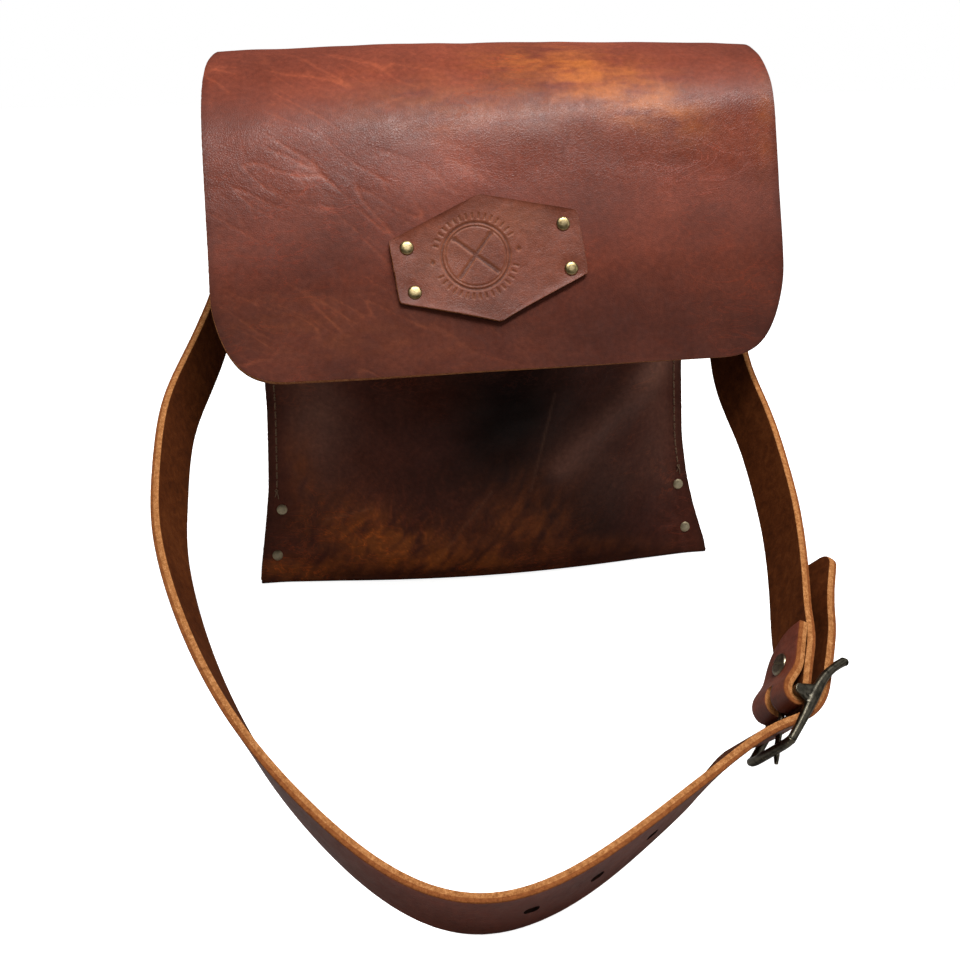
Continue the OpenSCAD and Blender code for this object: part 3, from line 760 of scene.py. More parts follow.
def solid(name, parts, mat, slot, body, *nodes):
    V, F = merge(parts)
    o = make(name, V, F, [mat], None)
    if nodes:
        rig.replaces(o, *nodes)
    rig.slot(o, slot)
    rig.ride(o, body)
    return o


def tube(path, r, seg=14, caps=True):
    """round bar along a path; r is a number or one per point"""
    P = np.asarray(path, float)
    r = np.broadcast_to(r, len(P))
    T = unit(np.gradient(P, axis=0))
    n0 = unit(np.cross(T[0], V3(0.31, 0.52, 0.79)))
    V = []
    for i in range(len(P)):
        n0 = unit(n0 - (n0 @ T[i]) * T[i])
        b = np.cross(T[i], n0)
        a = np.linspace(0, 2 * math.pi, seg, endpoint=False)
        V.append(P[i] + r[i] * (np.cos(a)[:, None] * n0 + np.sin(a)[:, None] * b))
    V = np.concatenate(V)
    k = np.arange(len(P) * seg).reshape(len(P), seg)
    F = np.stack([k[:-1], np.roll(k[:-1], -1, 1), np.roll(k[1:], -1, 1), k[1:]], -1).reshape(-1, 4)
    return V, F


def patch_point(a, b, h):
    x, s = patch_xs(np.array([a], float), np.array([b], float))
    p, n = flap_mid(x, s)[0], flap_nrm(x, s)[0]
    if n[1] > 0:
        n = -n
    ss = np.linspace(0, 12, 1201)
    L = np.concatenate([[0], np.cumsum(np.linalg.norm(np.diff(curve(FL, ss), axis=0), axis=1))])
    arc = np.interp(s, ss, L)
    w = 1.1 * fbm(np.stack([x / 95, arc / 80, 0 * x], -1), 3, 3)[0]
    return (p + (h + w) * n) * mm, n


caps, posts = [], []
for a, b in ((-54, 15), (-54, -16), (54, 14), (54, -17)):
    o, n = patch_point(a, b, FT / 2 + 0.35 + PT - 0.35)
    caps.append(rivet(o, n))
    o2, _ = patch_point(a, b, -FT / 2 - 0.05)
    caps.append(rivet(o2, -n, 1.4 * mm))
    posts.append(tube([o2, o2 + (o - o2) * 0.5, o], 1.5 * mm))
solid("patch_rivets", caps, M_BRASS, "antique_brass", "flap", "patch_rivet_caps")
solid("patch_rivet_shanks", posts, M_BRASS, "antique_brass", "flap", "patch_rivet_posts")

# ---------------------------------------------------------------- pouch
HW = np.array([[0, 191], [12, 189.5], [30, 186.5], [60, 181.5], [80, 178.8], [100, 177.6], [150, 175.6], [250, 177.2], [330, 184], [366, 187]], float)
HWR = np.array([[0, 190], [10, 188.5], [24, 184.5], [45, 178.5], [75, 172.5], [110, 169.5], [150, 169.5], [250, 175], [330, 184], [366, 187]], float)
SF = np.array([[0, 17], [5, 18], [12, 23], [30, 33], [75, 48], [150, 62], [250, 58], [330, 46], [366, 42]], float)
SB = np.array([[0, 1], [5, 6], [12, 8], [30, 10], [75, 12], [150, 10], [250, 4], [330, 1], [366, 0]], float)


def pch(T, z):
    """monotone cubic through a table"""
    x, y = T[:, 0], T[:, 1]
    h = np.diff(x)
    d = np.diff(y) / h
    m = np.zeros(len(x))
    for i in range(1, len(x) - 1):
        if d[i - 1] * d[i] > 0:
            w1, w2 = 2 * h[i] + h[i - 1], h[i] + 2 * h[i - 1]
            m[i] = (w1 + w2) / (w1 / d[i - 1] + w2 / d[i])
    m[0], m[-1] = d[0], d[-1]
    i = np.clip(np.searchsorted(x, z, side="right") - 1, 0, len(x) - 2)
    t = (z - x[i]) / h[i]
    t = np.clip(t, 0, 1)
    return y[i] * (1 + 2 * t) * (1 - t) ** 2 + h[i] * m[i] * t * (1 - t) ** 2 + y[i + 1] * t * t * (3 - 2 * t) + h[i] * m[i + 1] * t * t * (t - 1)


def bow(u):
    v = np.minimum(np.abs(u) / 0.93, 1)
    return (1 - v * v) ** 1.3


BT2 = 1.25
GAP2 = BT2 + 0.2
seam_y = lambda z: 84 * z / 366
LEAN = math.atan(84 / 366)


def half_w(u, z):
    return np.where(u < 0, pch(HW, z), pch(HWR, z))


def build_pouch():
    st = 2.6 if Q else 1.6
    zf = np.concatenate([np.arange(366, 8, -st), [6.6, 5.2, 4.0]])
    n = int(380 / st)
    uu = np.linspace(-1, 1, n + 1)
    uu = np.unique(np.concatenate([uu[1:-1], [-1, -0.997, 0.997, 1]]))
    ub = bow(uu)[None]
    rows, arcs = [], []

    def front(z):
        z = z[:, None] + 0 * uu[None]
        U = uu[None] + 0 * z
        y = seam_y(z) - GAP2 - pch(SF, z) * bow(U)
        return np.stack([U * half_w(U, z), y, z], -1), U

    def back(z):
        z = z[:, None] + 0 * uu[None]
        U = uu[None] + 0 * z
        y = seam_y(z) + GAP2 + pch(SB, z) * bow(U)
        return np.stack([U * half_w(U, z), y, z], -1), U

    Ff, U = front(zf)
    tb = np.linspace(0, 1, 9)
    y0 = -0.7 - 18.2 * bow(uu)
    y1 = 0.7 + 1.2 * bow(uu)
    Fo = []
    for k, tt in enumerate(tb):
        y = y0 * (1 - tt) + y1 * tt
        z = 0.05 + 2.3 * (2 * tt - 1) ** 4 * 1.0 + BT2 + 0.0 * y
        Fo.append(np.stack([uu * 190 * (1 - 0.0), y, z], -1))
    Fo = np.array(Fo)
    Bk, _ = back(zf[::-1])
    G = np.concatenate([Ff, Fo, Bk])
    U = np.repeat(uu[None], len(G), 0)
    X, Y, Z = G[..., 0], G[..., 1], G[..., 2]
    isf = np.zeros(len(G))
    isf[: len(zf)] = 1
    arc = np.concatenate([[0], np.cumsum(np.linalg.norm(np.diff(G[:, len(uu) // 2], axis=0), axis=1))])
    arc = np.repeat(arc[:, None], len(uu), 1)
    Nn = grid_normals(G)
    if Nn[10, len(uu) // 2, 1] > 0:
        Nn = -Nn
    inn = (1 - smooth(np.abs(U), 0.86, 0.93))
    fz = smooth(Z, 4, 26)
    P3 = np.stack([X / 62, arc / 55, 0 * X], -1)
    big = 2.6 * fbm(P3, 15, 3) * inn * fz * isf[:, None]
    # a soft ridge running from the upper right down to the middle, and hollows beside it
    px, py = pxy(G * mm)

    def seg_px(x0, y0_, x1, y1_, w):
        dx, dy = x1 - x0, y1_ - y0_
        t = np.clip(((px - x0) * dx + (py - y0_) * dy) / (dx * dx + dy * dy), 0, 1)
        d = np.hypot(px - x0 - t * dx, py - y0_ - t * dy)
        return np.exp(-(d / w) ** 2)

    ridge = seg_px(672, 356, 556, 470, 13)
    ridge2 = seg_px(676, 440, 640, 500, 10)
    hol = seg_px(640, 350, 520, 455, 22)
    crl = seg_px(300, 470, 330, 520, 8)
    f1 = isf[:, None] * inn
    big = big + f1 * (3.4 * ridge + 1.6 * ridge2 - 2.0 * hol + 1.2 * crl)
    # puckers fanning in from the corner rivets
    pk = 0
    for cx, cy, sg in ((282, 510, 1), (277, 553, 1), (678, 483, -1), (681, 521, -1)):
        an = np.arctan2(py - cy, (px - cx) * sg)
        rr = np.hypot(px - cx, py - cy)
        pk = pk + np.cos(an * 7.0 + cx) * np.exp(-((rr - 14) / 16) ** 2) * smooth(rr, 5, 14)
    big = big + 0.75 * pk * isf[:, None] * smooth(1 - np.abs(U), 0.055, 0.11)
    # fine wrinkle arcs at the lower left, gathered grain low down
    lw = np.exp(-(((px - 400) / 95) ** 2 + ((py - 530) / 42) ** 2))
    wx = X + 6 * noise(np.stack([X / 30, arc / 30, 0 * X], -1), 91)
    A, B = wx * 0.5 - arc * 0.87, wx * 0.87 + arc * 0.5
    wrk = (1 - np.clip(np.abs(noise(np.stack([A / 20, B / 5.2, 0 * X], -1), 93)) * 4.5, 0, 1)) ** 2
    wrk2 = (1 - np.clip(np.abs(noise(np.stack([X / 9, arc / 30, 0 * X], -1), 95)) * 5, 0, 1)) ** 2
    wk = wrk * (0.25 + lw) * f1
    up = smooth(Z, 150, 90) * f1
    disp = big - 0.35 * wk - 0.25 * wrk2 * up * 0.6
    disp = disp + 0.7 * noise(np.stack([X / 40, arc / 34, 0 * X], -1), 99) * inn * (1 - isf[:, None]) * fz
    G = G + Nn * disp[..., None]
    G[..., 2] = np.maximum(G[..., 2], BT2 * 1.0 + 0.02)
    O = (G + Nn * BT2)
    I = (G - Nn * BT2)
    O[..., 2] = np.maximum(O[..., 2], 0.0)
    O, I = O * mm, I * mm
    px, py = pxy(O)
    g = lambda cx, cy, rx, ry, rot=0.0: np.exp(-((((px - cx) * math.cos(rot) + (py - cy) * math.sin(rot)) / rx) ** 2 + ((-(px - cx) * math.sin(rot) + (py - cy) * math.cos(rot)) / ry) ** 2))
    T = np.ones(O.shape) * V3(0.098, 0.0235, 0.012)
    cl = fbm(np.stack([X / 48, arc / 40, 0 * X], -1), 101, 4)
    T = T * (1 + 0.3 * cl)[..., None]
    fr = isf[:, None, None]
    # painted shadow of the flap on the pouch front: darkest just under the flap's middle, fading lower down
    dark = np.clip(0.95 * g(520, 410, 80, 70) + 0.55 * g(600, 520, 90, 50) + 0.4 * g(470, 470, 60, 50), 0, 1)[..., None] * fr
    T = T * (1 - 0.9 * dark)
    # painted sheen: light grey streaks at the left, along the ridge and at the upper right
    pouch_sheen = np.clip(0.9 * g(318, 425, 30, 62) + 0.8 * seg_px(664, 362, 560, 466, 15) + 0.5 * g(660, 440, 20, 60) + 0.35 * g(600, 470, 40, 40), 0, 1)[..., None] * fr
    T = T * (1 - 0.7 * pouch_sheen) + V3(0.25, 0.105, 0.072) * 0.7 * pouch_sheen
    org = np.clip(0.35 * g(530, 520, 46, 44) + 1.0 * g(395, 543, 64, 22, 0.12) + 0.75 * g(300, 572, 50, 13) + 0.55 * g(450, 560, 80, 12) + 0.4 * g(345, 520, 34, 30) + 0.3 * g(520, 520, 30, 16) + 0.45 * g(270, 575, 12, 14) + 0.25 * g(610, 545, 70, 9) + 0.3 * g(300, 470, 18, 40), 0, 1)
    org = np.clip(org * (0.85 + 0.9 * fbm(np.stack([A / 18, B / 7, 0 * X], -1), 111, 3)), 0, 1)[..., None]
    T = T * (1 - org) + V3(0.30, 0.076, 0.015) * org
    red = np.clip(0.8 * g(655, 520, 36, 36) + 0.6 * g(690, 545, 14, 10) + 0.5 * g(430, 450, 40, 30), 0, 1)[..., None] * fr
    T = T * (1 - 0.6 * red) + V3(0.10, 0.021, 0.012) * 0.6 * red
    T = T * (1 + 0.8 * (wk * 0.8)[..., None] * V3(1, 0.85, 0.6))
    sc = seg_px(555, 394, 531, 491, 1.2) * 0.42 + seg_px(438, 560, 492, 492, 1.2) * 0.35 + seg_px(326, 520, 372, 508, 1.4) * 0.4
    T = T + (sc * isf[:, None])[..., None] * V3(0.10, 0.05, 0.03)
    eg = smooth(np.abs(U), 0.955, 1.0)[..., None]
    T = T * (1 - 0.3 * eg)
    # painted shade: darker over the lowest 16 mm, down into the bottom fold by the floor
    bottom_shade = (smooth(Z, 16, 3))[..., None]
    T = T * (1 - 0.25 * bottom_shade)
    uv = np.stack([X * mm + 1.3, arc * mm], -1)
    return thick("pouch_hide", O, I, [M_POUCH, M_FLESH_IN, M_EDGE_D], uv, T, V3(0.03, 0.014, 0.008), V3(0.09, 0.03, 0.014), rim=4, bulge=0.0003, rough=0.00025)


pouch = build_pouch()
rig.replaces(pouch, "pouch")
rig.slot(pouch, "leather_pouch")
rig.ride(pouch, "bag")

SEAM_N = V3(0, -math.cos(LEAN), math.sin(LEAN))
SEAM_U = V3(0, math.sin(LEAN), math.cos(LEAN))
caps, posts = [], []
for sg in (-1, 1):
    for z in (23, 60):
        x = sg * (float(half_w(np.array(sg), np.array(float(z)))) - 9.5 - (4.0 if sg > 0 and z == 23 else 0) - (2.5 if sg < 0 else 0))
        o = V3(x, seam_y(z), z) * mm
        t = (GAP2 + BT2) * mm
        caps.append(rivet(o + SEAM_N * (t - 0.00005), SEAM_N, 1.5 * mm, 4.4 * mm))
        caps.append(rivet(o - SEAM_N * (t - 0.00005), -SEAM_N, 1.5 * mm, 4.4 * mm))
        posts.append(tube([o - SEAM_N * t, o, o + SEAM_N * t], 1.5 * mm))
solid("corner_rivets", caps, M_BRASS_L, "antique_brass", "bag", "corner_rivet_caps")
solid("corner_rivet_shanks", posts, M_BRASS, "antique_brass", "bag", "corner_rivet_posts")


def stitch(a, b, n, r=0.6 * mm, lift=0.6 * mm, twist=True):
    """one stitch: two plies twisted together, ends sunk into the hide"""
    a, b = np.asarray(a), np.asarray(b)
    t = np.linspace(0, 1, 15)
    up = (np.sin(math.pi * t) ** 0.45 * 1.25 - 0.9)[:, None] * lift
    P = a * (1 - t[:, None]) + b * t[:, None] + n * up
    side = unit(np.cross(b - a, n))
    out = []
    for ph in (0, math.pi):
        q = ph + t * 7.5
        out.append(tube(P + 0.34 * r * 2 * (np.cos(q)[:, None] * side + np.sin(q)[:, None] * n * 0.7), r * 0.72, 8))
    return out


def side_stitches(sg):
    out = []
    zs = np.arange(78, 356, 6.9)
    t = (GAP2 + BT2) * mm
    for z in zs:
        hw = lambda zz: float(half_w(np.array(sg), np.array(float(zz)))) - 6.6
        a = V3(sg * hw(z), seam_y(z), z) * mm
        b = V3(sg * hw(z + 5.6), seam_y(z + 5.6), z + 5.6) * mm
        out += stitch(a + SEAM_N * t, b + SEAM_N * t, SEAM_N)
        out += stitch(a - SEAM_N * t, b - SEAM_N * t, -SEAM_N)
    # knot and two short cut ends at the foot of the seam
    z = 75.5
    o = V3(sg * (float(half_w(np.array(sg), np.array(z))) - 6.4), seam_y(z), z) * mm + SEAM_N * (t + 0.5 * mm)
    k = np.linspace(0, 2 * math.pi * 1.6, 26)
    kn = o + 1.0 * mm * (np.cos(k)[:, None] * V3(1, 0, 0) + np.sin(k)[:, None] * SEAM_U) + np.sin(k * 1.5)[:, None] * SEAM_N * 0.5 * mm
    out.append(tube(kn, 0.42 * mm, 8))
    for e in ((-1.6, -5.2), (1.2, -7.0)):
        e1 = o + V3(1, 0, 0) * e[0] * mm + SEAM_U * e[1] * mm
        out.append(tube([o, (o + e1) / 2 + SEAM_N * 0.3 * mm + V3(0.0004, 0, 0), e1], 0.4 * mm, 8))
    return out


solid("side_stitches_left", side_stitches(-1), M_THREAD, "thread", "bag", "side_thread_left")
solid("side_stitches_right", side_stitches(1), M_THREAD, "thread", "bag", "side_thread_right")
ft = []
nb = V3(0, math.cos(math.radians(12)), math.sin(math.radians(12)) * -0.4)
nb = unit(nb)
for x in np.arange(-178, 178, 6.9):
    for z, y in ((341, None),):
        p = flap_mid(np.array([float(x)]), np.array([0.62]))[0]
        q = flap_mid(np.array([float(x) + 5.6]), np.array([0.62]))[0]
        n_ = unit(V3(0, 18, -4))
        ft += stitch(p * mm + n_ * 2.0 * mm, q * mm + n_ * 2.0 * mm, n_)
solid("flap_stitches", ft, M_THREAD, "thread", "bag", "flap_thread")

# ---------------------------------------------------------------- strap
BO = V3(137, -321, 68.5)
BW = unit([-0.22, 0.6, -0.77])
BT0 = V3(-0.344, -0.84, -0.42)
BTv = unit(BT0 - (BT0 @ BW) * BW)
BN = np.cross(BTv, BW)
bp = lambda p, q: list(BO + p * BTv + q * BN)
W_ = list(BW)
LONG = [[-200, 32, 272], [-202, 2, 252], [-211, -42, 235], [-222, -89, 217], [-231, -122, 203], [-233, -154, 186], [-232, -210, 156], [-218, -260, 128],
        [-197, -306, 102], [-168, -349.4, 79], [-132, -386.4, 58], [-104, -407, 46.6], [-76.3, -418, 38.6], [-46.6, -416.6, 36.8], [-15, -406.5, 38.8], [20, -388.7, 43.9], [59.5, -367.2, 52],
        bp(41, -30), bp(26, -15.5), bp(12, 1.5), bp(3, 8.5), bp(-7, 12), bp(-20, 13), [167.4, -285, 87.2], [170.6, -274, 96.6], [175, -262, 105], [185.5, -240, 116.5]]
LONGW = [[0.1, 0.15, -0.98], [0.18, 0.25, -0.95], [0.24, 0.36, -0.9], [0.3, 0.42, -0.85], [0.34, 0.44, -0.83], [0.34, 0.45, -0.82], [0.33, 0.46, -0.82], [0.28, 0.47, -0.84],
         [0.22, 0.5, -0.84], [0.15, 0.46, -0.88], [0.08, 0.43, -0.9], [0.03, 0.41, -0.91], [0, 0.4, -0.916], [0, 0.39, -0.92], [0, 0.39, -0.92], [-0.04, 0.4, -0.915], [-0.14, 0.46, -0.88],
         W_, W_, W_, W_, W_, W_, [-0.24, 0.65, -0.72], [-0.25, 0.69, -0.68], [-0.27, 0.72, -0.64], [-0.28, 0.74, -0.61]]
SHORT = [[195, 32, 274], [193, 0, 250], [188, -40, 222], [182, -80, 193], [185, -112, 175], [183, -146, 157], [180, -178, 141], [175, -208, 125],
         [168, -236, 111], [160, -263, 97], bp(-40, 0), bp(-20, 0), bp(-8, 0), bp(0, 0), bp(4.2, -1.8), bp(6, -6), bp(4.2, -10.2), bp(0, -12), bp(-5, -11.4), bp(-12, -8), bp(-18, -5.9), bp(-30, -5.7), bp(-47, -5.7)]
SHORTW = [[-0.1, 0.15, -0.98], [-0.22, 0.25, -0.94], [-0.42, 0.36, -0.83], [-0.36, 0.43, -0.83], [-0.3, 0.45, -0.84], [-0.31, 0.47, -0.82], [-0.31, 0.49, -0.82], [-0.31, 0.5, -0.81],
          [-0.3, 0.52, -0.8], [-0.28, 0.55, -0.79]] + [W_] * 13
ENDL = [[-92, 79.4, 300], [-125, 79.4, 300], [-155, 77.9, 299], [-181, 74.6, 296], [-195, 60, 290], [-200, 32, 272]]
ENDLW = [[0, -0.23, -0.97], [0, -0.23, -0.97], [0, -0.22, -0.97], [0.02, -0.1, -0.99], [0.04, 0.04, -1], [0.1, 0.15, -0.98]]
ENDR = [[92, 79.4, 300], [125, 79.4, 300], [155, 77.9, 299], [179, 74.6, 295], [192, 60, 288], [195, 32, 274]]
ENDRW = [[0, -0.23, -0.97], [0, -0.23, -0.97], [0, -0.22, -0.97], [-0.02, -0.1, -0.99], [-0.04, 0.04, -1], [-0.1, 0.15, -0.98]]
SW, ST = 38.0, 5.4


def path(E, EW, P, PWd, step, keep):
    """dense centre line of the near edge, with unit tangent, across and face normal"""
    A = np.array(E[:-1] + P, float)
    B = np.array(EW[:-1] + PWd, float)
    u = np.linspace(0, len(A) - 1, (len(A) - 1) * 60 + 1)
    C = curve(A, u)
    L = np.concatenate([[0], np.cumsum(np.linalg.norm(np.diff(C, axis=0), axis=1))])
    l = list(np.arange(0.0, L[-1] - 20, step))
    l += list(L[-1] - 20 + 20 * np.sin(np.linspace(0, math.pi / 2, 26)))
    l = [0.0, 0.4] + [q for q in l[1:] if q > 0.8]
    l = np.unique(np.array(l))
    uu = np.interp(l, L, u)
    C = curve(A, uu)
    Wd = curve(B, uu)
    # smoothed so the path reads as one bend of hide; the fold and the buckle keep their shape
    le = np.linspace(0, L[-1], int(L[-1] / 1.0))
    Ce = np.stack([np.interp(le, l, C[:, k]) for k in range(3)], 1)
    We = np.stack([np.interp(le, l, Wd[:, k]) for k in range(3)], 1)
    ue = np.interp(le, l, uu)

    def gauss(A, sg):
        k = np.arange(-int(3 * sg), int(3 * sg) + 1)
        g_ = np.exp(-0.5 * (k / sg) ** 2)
        g_ /= g_.sum()
        Ap = np.concatenate([2 * A[0] - A[1:len(k) // 2 + 1][::-1], A, 2 * A[-1] - A[-len(k) // 2:-1][::-1]])
        return np.stack([np.convolve(Ap[:, j], g_, "same")[len(k) // 2:len(k) // 2 + len(A)] for j in range(3)], 1)

    soft = smooth(ue, keep[0], keep[1])[:, None] * (1 - smooth(ue, keep[2], keep[3]))[:, None]
    Cs = gauss(Ce + (Ce - gauss(Ce, 24)), 24)
    Ce = Ce * (1 - soft) + gauss(Cs, 6) * soft
    We = We * (1 - soft) + gauss(We, 40) * soft
    Ce = gauss(Ce, 3.0)
    C = np.stack([np.interp(l, le, Ce[:, k]) for k in range(3)], 1)
    Wd = np.stack([np.interp(l, le, We[:, k]) for k in range(3)], 1)
    T = unit(np.gradient(C, l, axis=0))
    D = unit(Wd - (Wd * T).sum(1, keepdims=True) * T)
    Nn = np.cross(T, D)
    return C, T, D, Nn, l, uu, L[-1]


def build_strap(name, E, EW, P, PWd, keep, tail, mats, tone_fn, seed):
    C, T, D, Nn, l, uu, LT = path(E, EW, P, PWd, 2.6 if Q else 1.6, keep)
    v0 = np.zeros(len(l))
    v1 = np.full(len(l), SW)
    e = LT - l
    if tail == "round":
        r = 11.0
        k = np.clip((r - e) / r, 0, 1)
        c = r * (1 - np.sqrt(np.maximum(1 - k ** 2.2, 0.0)))
        v0 = v0 + np.minimum(c, r - 0.4)
        v1 = v1 - np.minimum(c, r - 0.4)
    if tail == "quarter":
        r = 30.0
        k = np.clip((r - e) / r, 0, 1)
        v1 = v1 - np.minimum(r * (1 - np.sqrt(np.maximum(1 - k ** 2.2, 0.0))), SW - 3.0)
    k0 = np.clip((4 - l) / 4, 0, 1)
    v0 = v0 + 4 * (1 - np.sqrt(1 - k0 ** 2))
    v1 = v1 - 4 * (1 - np.sqrt(1 - k0 ** 2))
    # cross-section: rounded rectangle, ring of points (v, n)
    nv = 14 if Q else 24
    cr_ = 0.75
    h = ST / 2
    ring, mi = [], []
    fv = np.linspace(0, 1, nv)
    corner = lambda cx, cy, a0: [(cx, cy, a0 + k * math.pi / 6) for k in range(4)]
    pts = []
    for k in range(nv):
        pts.append(("f", fv[k], h, 0))
    for k in range(1, 3):
        pts.append(("c1", k / 3, 0, 2))
    for k in range(0, 6):
        pts.append(("s1", k / 5, 0, 2))
    for k in range(1, 3):
        pts.append(("c2", k / 3, 0, 2))
    for k in range(nv):
        pts.append(("f", 1 - fv[k], -h, 1))
    for k in range(1, 3):
        pts.append(("c3", k / 3, 0, 2))
    for k in range(0, 6):
        pts.append(("s2", k / 5, 0, 2))
    for k in range(1, 3):
        pts.append(("c4", k / 3, 0, 2))
    Vv, Hh, Mi = [], [], []
    for kind, t, hh, mt in pts:
        if kind == "f":
            v = (v0 + cr_) + (v1 - v0 - 2 * cr_) * t
            n_ = np.full(len(l), hh)
        elif kind in ("c1", "c2"):
            a = t * math.pi / 2 if kind == "c1" else math.pi / 2 * t
            if kind == "c1":
                v, n_ = v1 - cr_ + cr_ * math.sin(a), np.full(len(l), h - cr_ + cr_ * math.cos(a))
            else:
                v, n_ = v1 - cr_ + cr_ * math.cos(a), np.full(len(l), -h + cr_ - cr_ * math.sin(a))
        elif kind == "s1":
            v, n_ = v1 + 0.12 * math.sin(math.pi * t), np.full(len(l), (h - cr_) * (1 - 2 * t))
        elif kind == "c3":
            a = t * math.pi / 2
            v, n_ = v0 + cr_ - cr_ * math.sin(a), np.full(len(l), -h + cr_ - cr_ * math.cos(a))
        elif kind == "s2":
            v, n_ = v0 - 0.12 * math.sin(math.pi * t), np.full(len(l), -(h - cr_) * (1 - 2 * t))
        else:
            a = t * math.pi / 2
            v, n_ = v0 + cr_ - cr_ * math.cos(a), np.full(len(l), h - cr_ + cr_ * math.sin(a))
        Vv.append(v)
        Hh.append(n_)
        grain_c = ("c2", "c3") if mats[1] is M_STRAP else ("c1", "c4")
        low = mats[1] is M_STRAP
        burn = kind in grain_c or (kind == "s1" and (t > 0.75 if low else t < 0.25)) or (kind == "s2" and (t < 0.25 if low else t > 0.75))
        Mi.append(3 if burn else mt)
    Vv, Hh, Mi = np.array(Vv).T, np.array(Hh).T, np.array(Mi)
    Lg = np.repeat(l[:, None], Vv.shape[1], 1)
    flut = 0.5 * noise(np.stack([Lg / 70, Vv / 60, 0 * Lg], -1), seed)
    isedge = (Mi >= 2)[None]
    rough = 0.16 * fbm(np.stack([Lg / 1.6, Hh / 1.1, Vv / 4], -1), seed + 2, 3) * isedge
    Hd = Hh + flut * 0.6
    Vd = Vv + rough * np.where(Vv > SW / 2, 1, -1) + 0.35 * noise(np.stack([Lg / 45, 0 * Lg, 0 * Lg + 3], -1), seed + 5)
    G = C[:, None] + Vd[..., None] * D[:, None] + Hd[..., None] * Nn[:, None]
    m, n = G.shape[:2]
    idx = np.arange(m * n).reshape(m, n)
    nx = np.roll(idx, -1, 1)
    F = np.stack([idx[:-1], nx[:-1], nx[1:], idx[1:]], -1).reshape(-1, 4)
    nxm = np.roll(Mi, -1)
    fm = np.where(nxm == Mi, Mi, np.where((nxm == 3) | (Mi == 3), 3, 2))
    FM = np.repeat(fm[None], m - 1, 0).ravel()
    V = G.reshape(-1, 3)
    # end caps as fans
    c0, c1 = G[0].mean(0), G[-1].mean(0)
    V = np.concatenate([V, [c0, c1]])
    base = m * n
    cap0 = np.stack([idx[0], np.full(n, base), np.full(n, base), nx[0]], -1)
    tri = [[int(nx[0, j]), int(idx[0, j]), base] for j in range(n)] + [[int(idx[-1, j]), int(nx[-1, j]), base + 1] for j in range(n)]
    uv = np.stack([Lg * mm + 2.1, (Vv + Hh * 0.3) * mm + seed * 0.05], -1).reshape(-1, 2)
    uv = np.concatenate([uv, [[0, 0], [0, 0]]])
    tone = tone_fn(Lg, Vv, Hh, Mi, G * mm, uu, LT).reshape(-1, 3)
    tone = np.concatenate([tone, [[0.3, 0.13, 0.06]] * 2])
    o = make(name, V * mm, F, mats, FM, uv, tone)
    bm = bmesh.new()
    bm.from_mesh(o.data)
    bm.verts.ensure_lookup_table()
    for t3 in tri:
        try:
            f = bm.faces.new([bm.verts[i] for i in t3])
            f.material_index = 2
            f.smooth = True
        except ValueError:
            pass
    bmesh.ops.recalc_face_normals(bm, faces=bm.faces)
    bm.to_mesh(o.data)
    bm.free()
    return o, (C, T, D, Nn, l, uu, LT)


def strap_tone(seed):
    def f(Lg, Vv, Hh, Mi, G, uu, LT):
        T = np.ones(G.shape) * V3(0.17, 0.042, 0.024)
        c = fbm(np.stack([Lg / 60, Vv / 22, 0 * Lg], -1), seed, 4)
        T = T * (1 + 0.3 * c)[..., None]
        lo = (1 - smooth(np.minimum(Vv, SW - Vv), 0.3, 3.2))[..., None]
        T = T * (1 + 0.35 * lo * V3(1, 0.8, 0.5))
        px, py = pxy(G)
        hot = np.exp(-(((px - 700) / 40) ** 2 + ((py - 800) / 26) ** 2)) * 0.55 + np.exp(-(((px - 790) / 26) ** 2 + ((py - 690) / 22) ** 2)) * 0.35
        T = T * (1 - hot[..., None]) + V3(0.22, 0.066, 0.027) * hot[..., None]
        # short dark crease lines across near the holes
        sc = (1 - np.clip(np.abs(noise(np.stack([Lg / 6, Vv / 30, 0 * Lg], -1), seed + 4)) * 7, 0, 1)) * smooth(noise(np.stack([Lg / 70, 0 * Lg, 0 * Lg], -1), seed + 6), 0.05, 0.3)
        return T * (1 - 0.3 * sc[..., None])
    return f


def boolean(o, cutters):
    for c in cutters:
        md = o.modifiers.new("cut", "BOOLEAN")
        md.operation = "DIFFERENCE"
        md.solver = "EXACT"
        md.object = c
    dg = bpy.context.evaluated_depsgraph_get()
    me = bpy.data.meshes.new_from_object(o.evaluated_get(dg))
    old = o.data
    if "tone" in old.attributes and "tone" in me.attributes:
        n0 = len(old.vertices)
        c0 = np.empty(n0 * 3)
        old.vertices.foreach_get("co", c0)
        t0 = np.empty(n0 * 4)
        old.attributes["tone"].data.foreach_get("color", t0)
        kd = KDTree(n0)
        for i, v in enumerate(c0.reshape(-1, 3)):
            kd.insert(v, i)
        kd.balance()
        t0 = t0.reshape(-1, 4)
        n1 = len(me.vertices)
        c1 = np.empty(n1 * 3)
        me.vertices.foreach_get("co", c1)
        t1 = np.array([t0[kd.find(v)[1]] for v in c1.reshape(-1, 3)])
        me.attributes["tone"].data.foreach_set("color", t1.ravel())
    o.modifiers.clear()
    o.data = me
    for c in cutters:
        bpy.data.objects.remove(c)
    return o


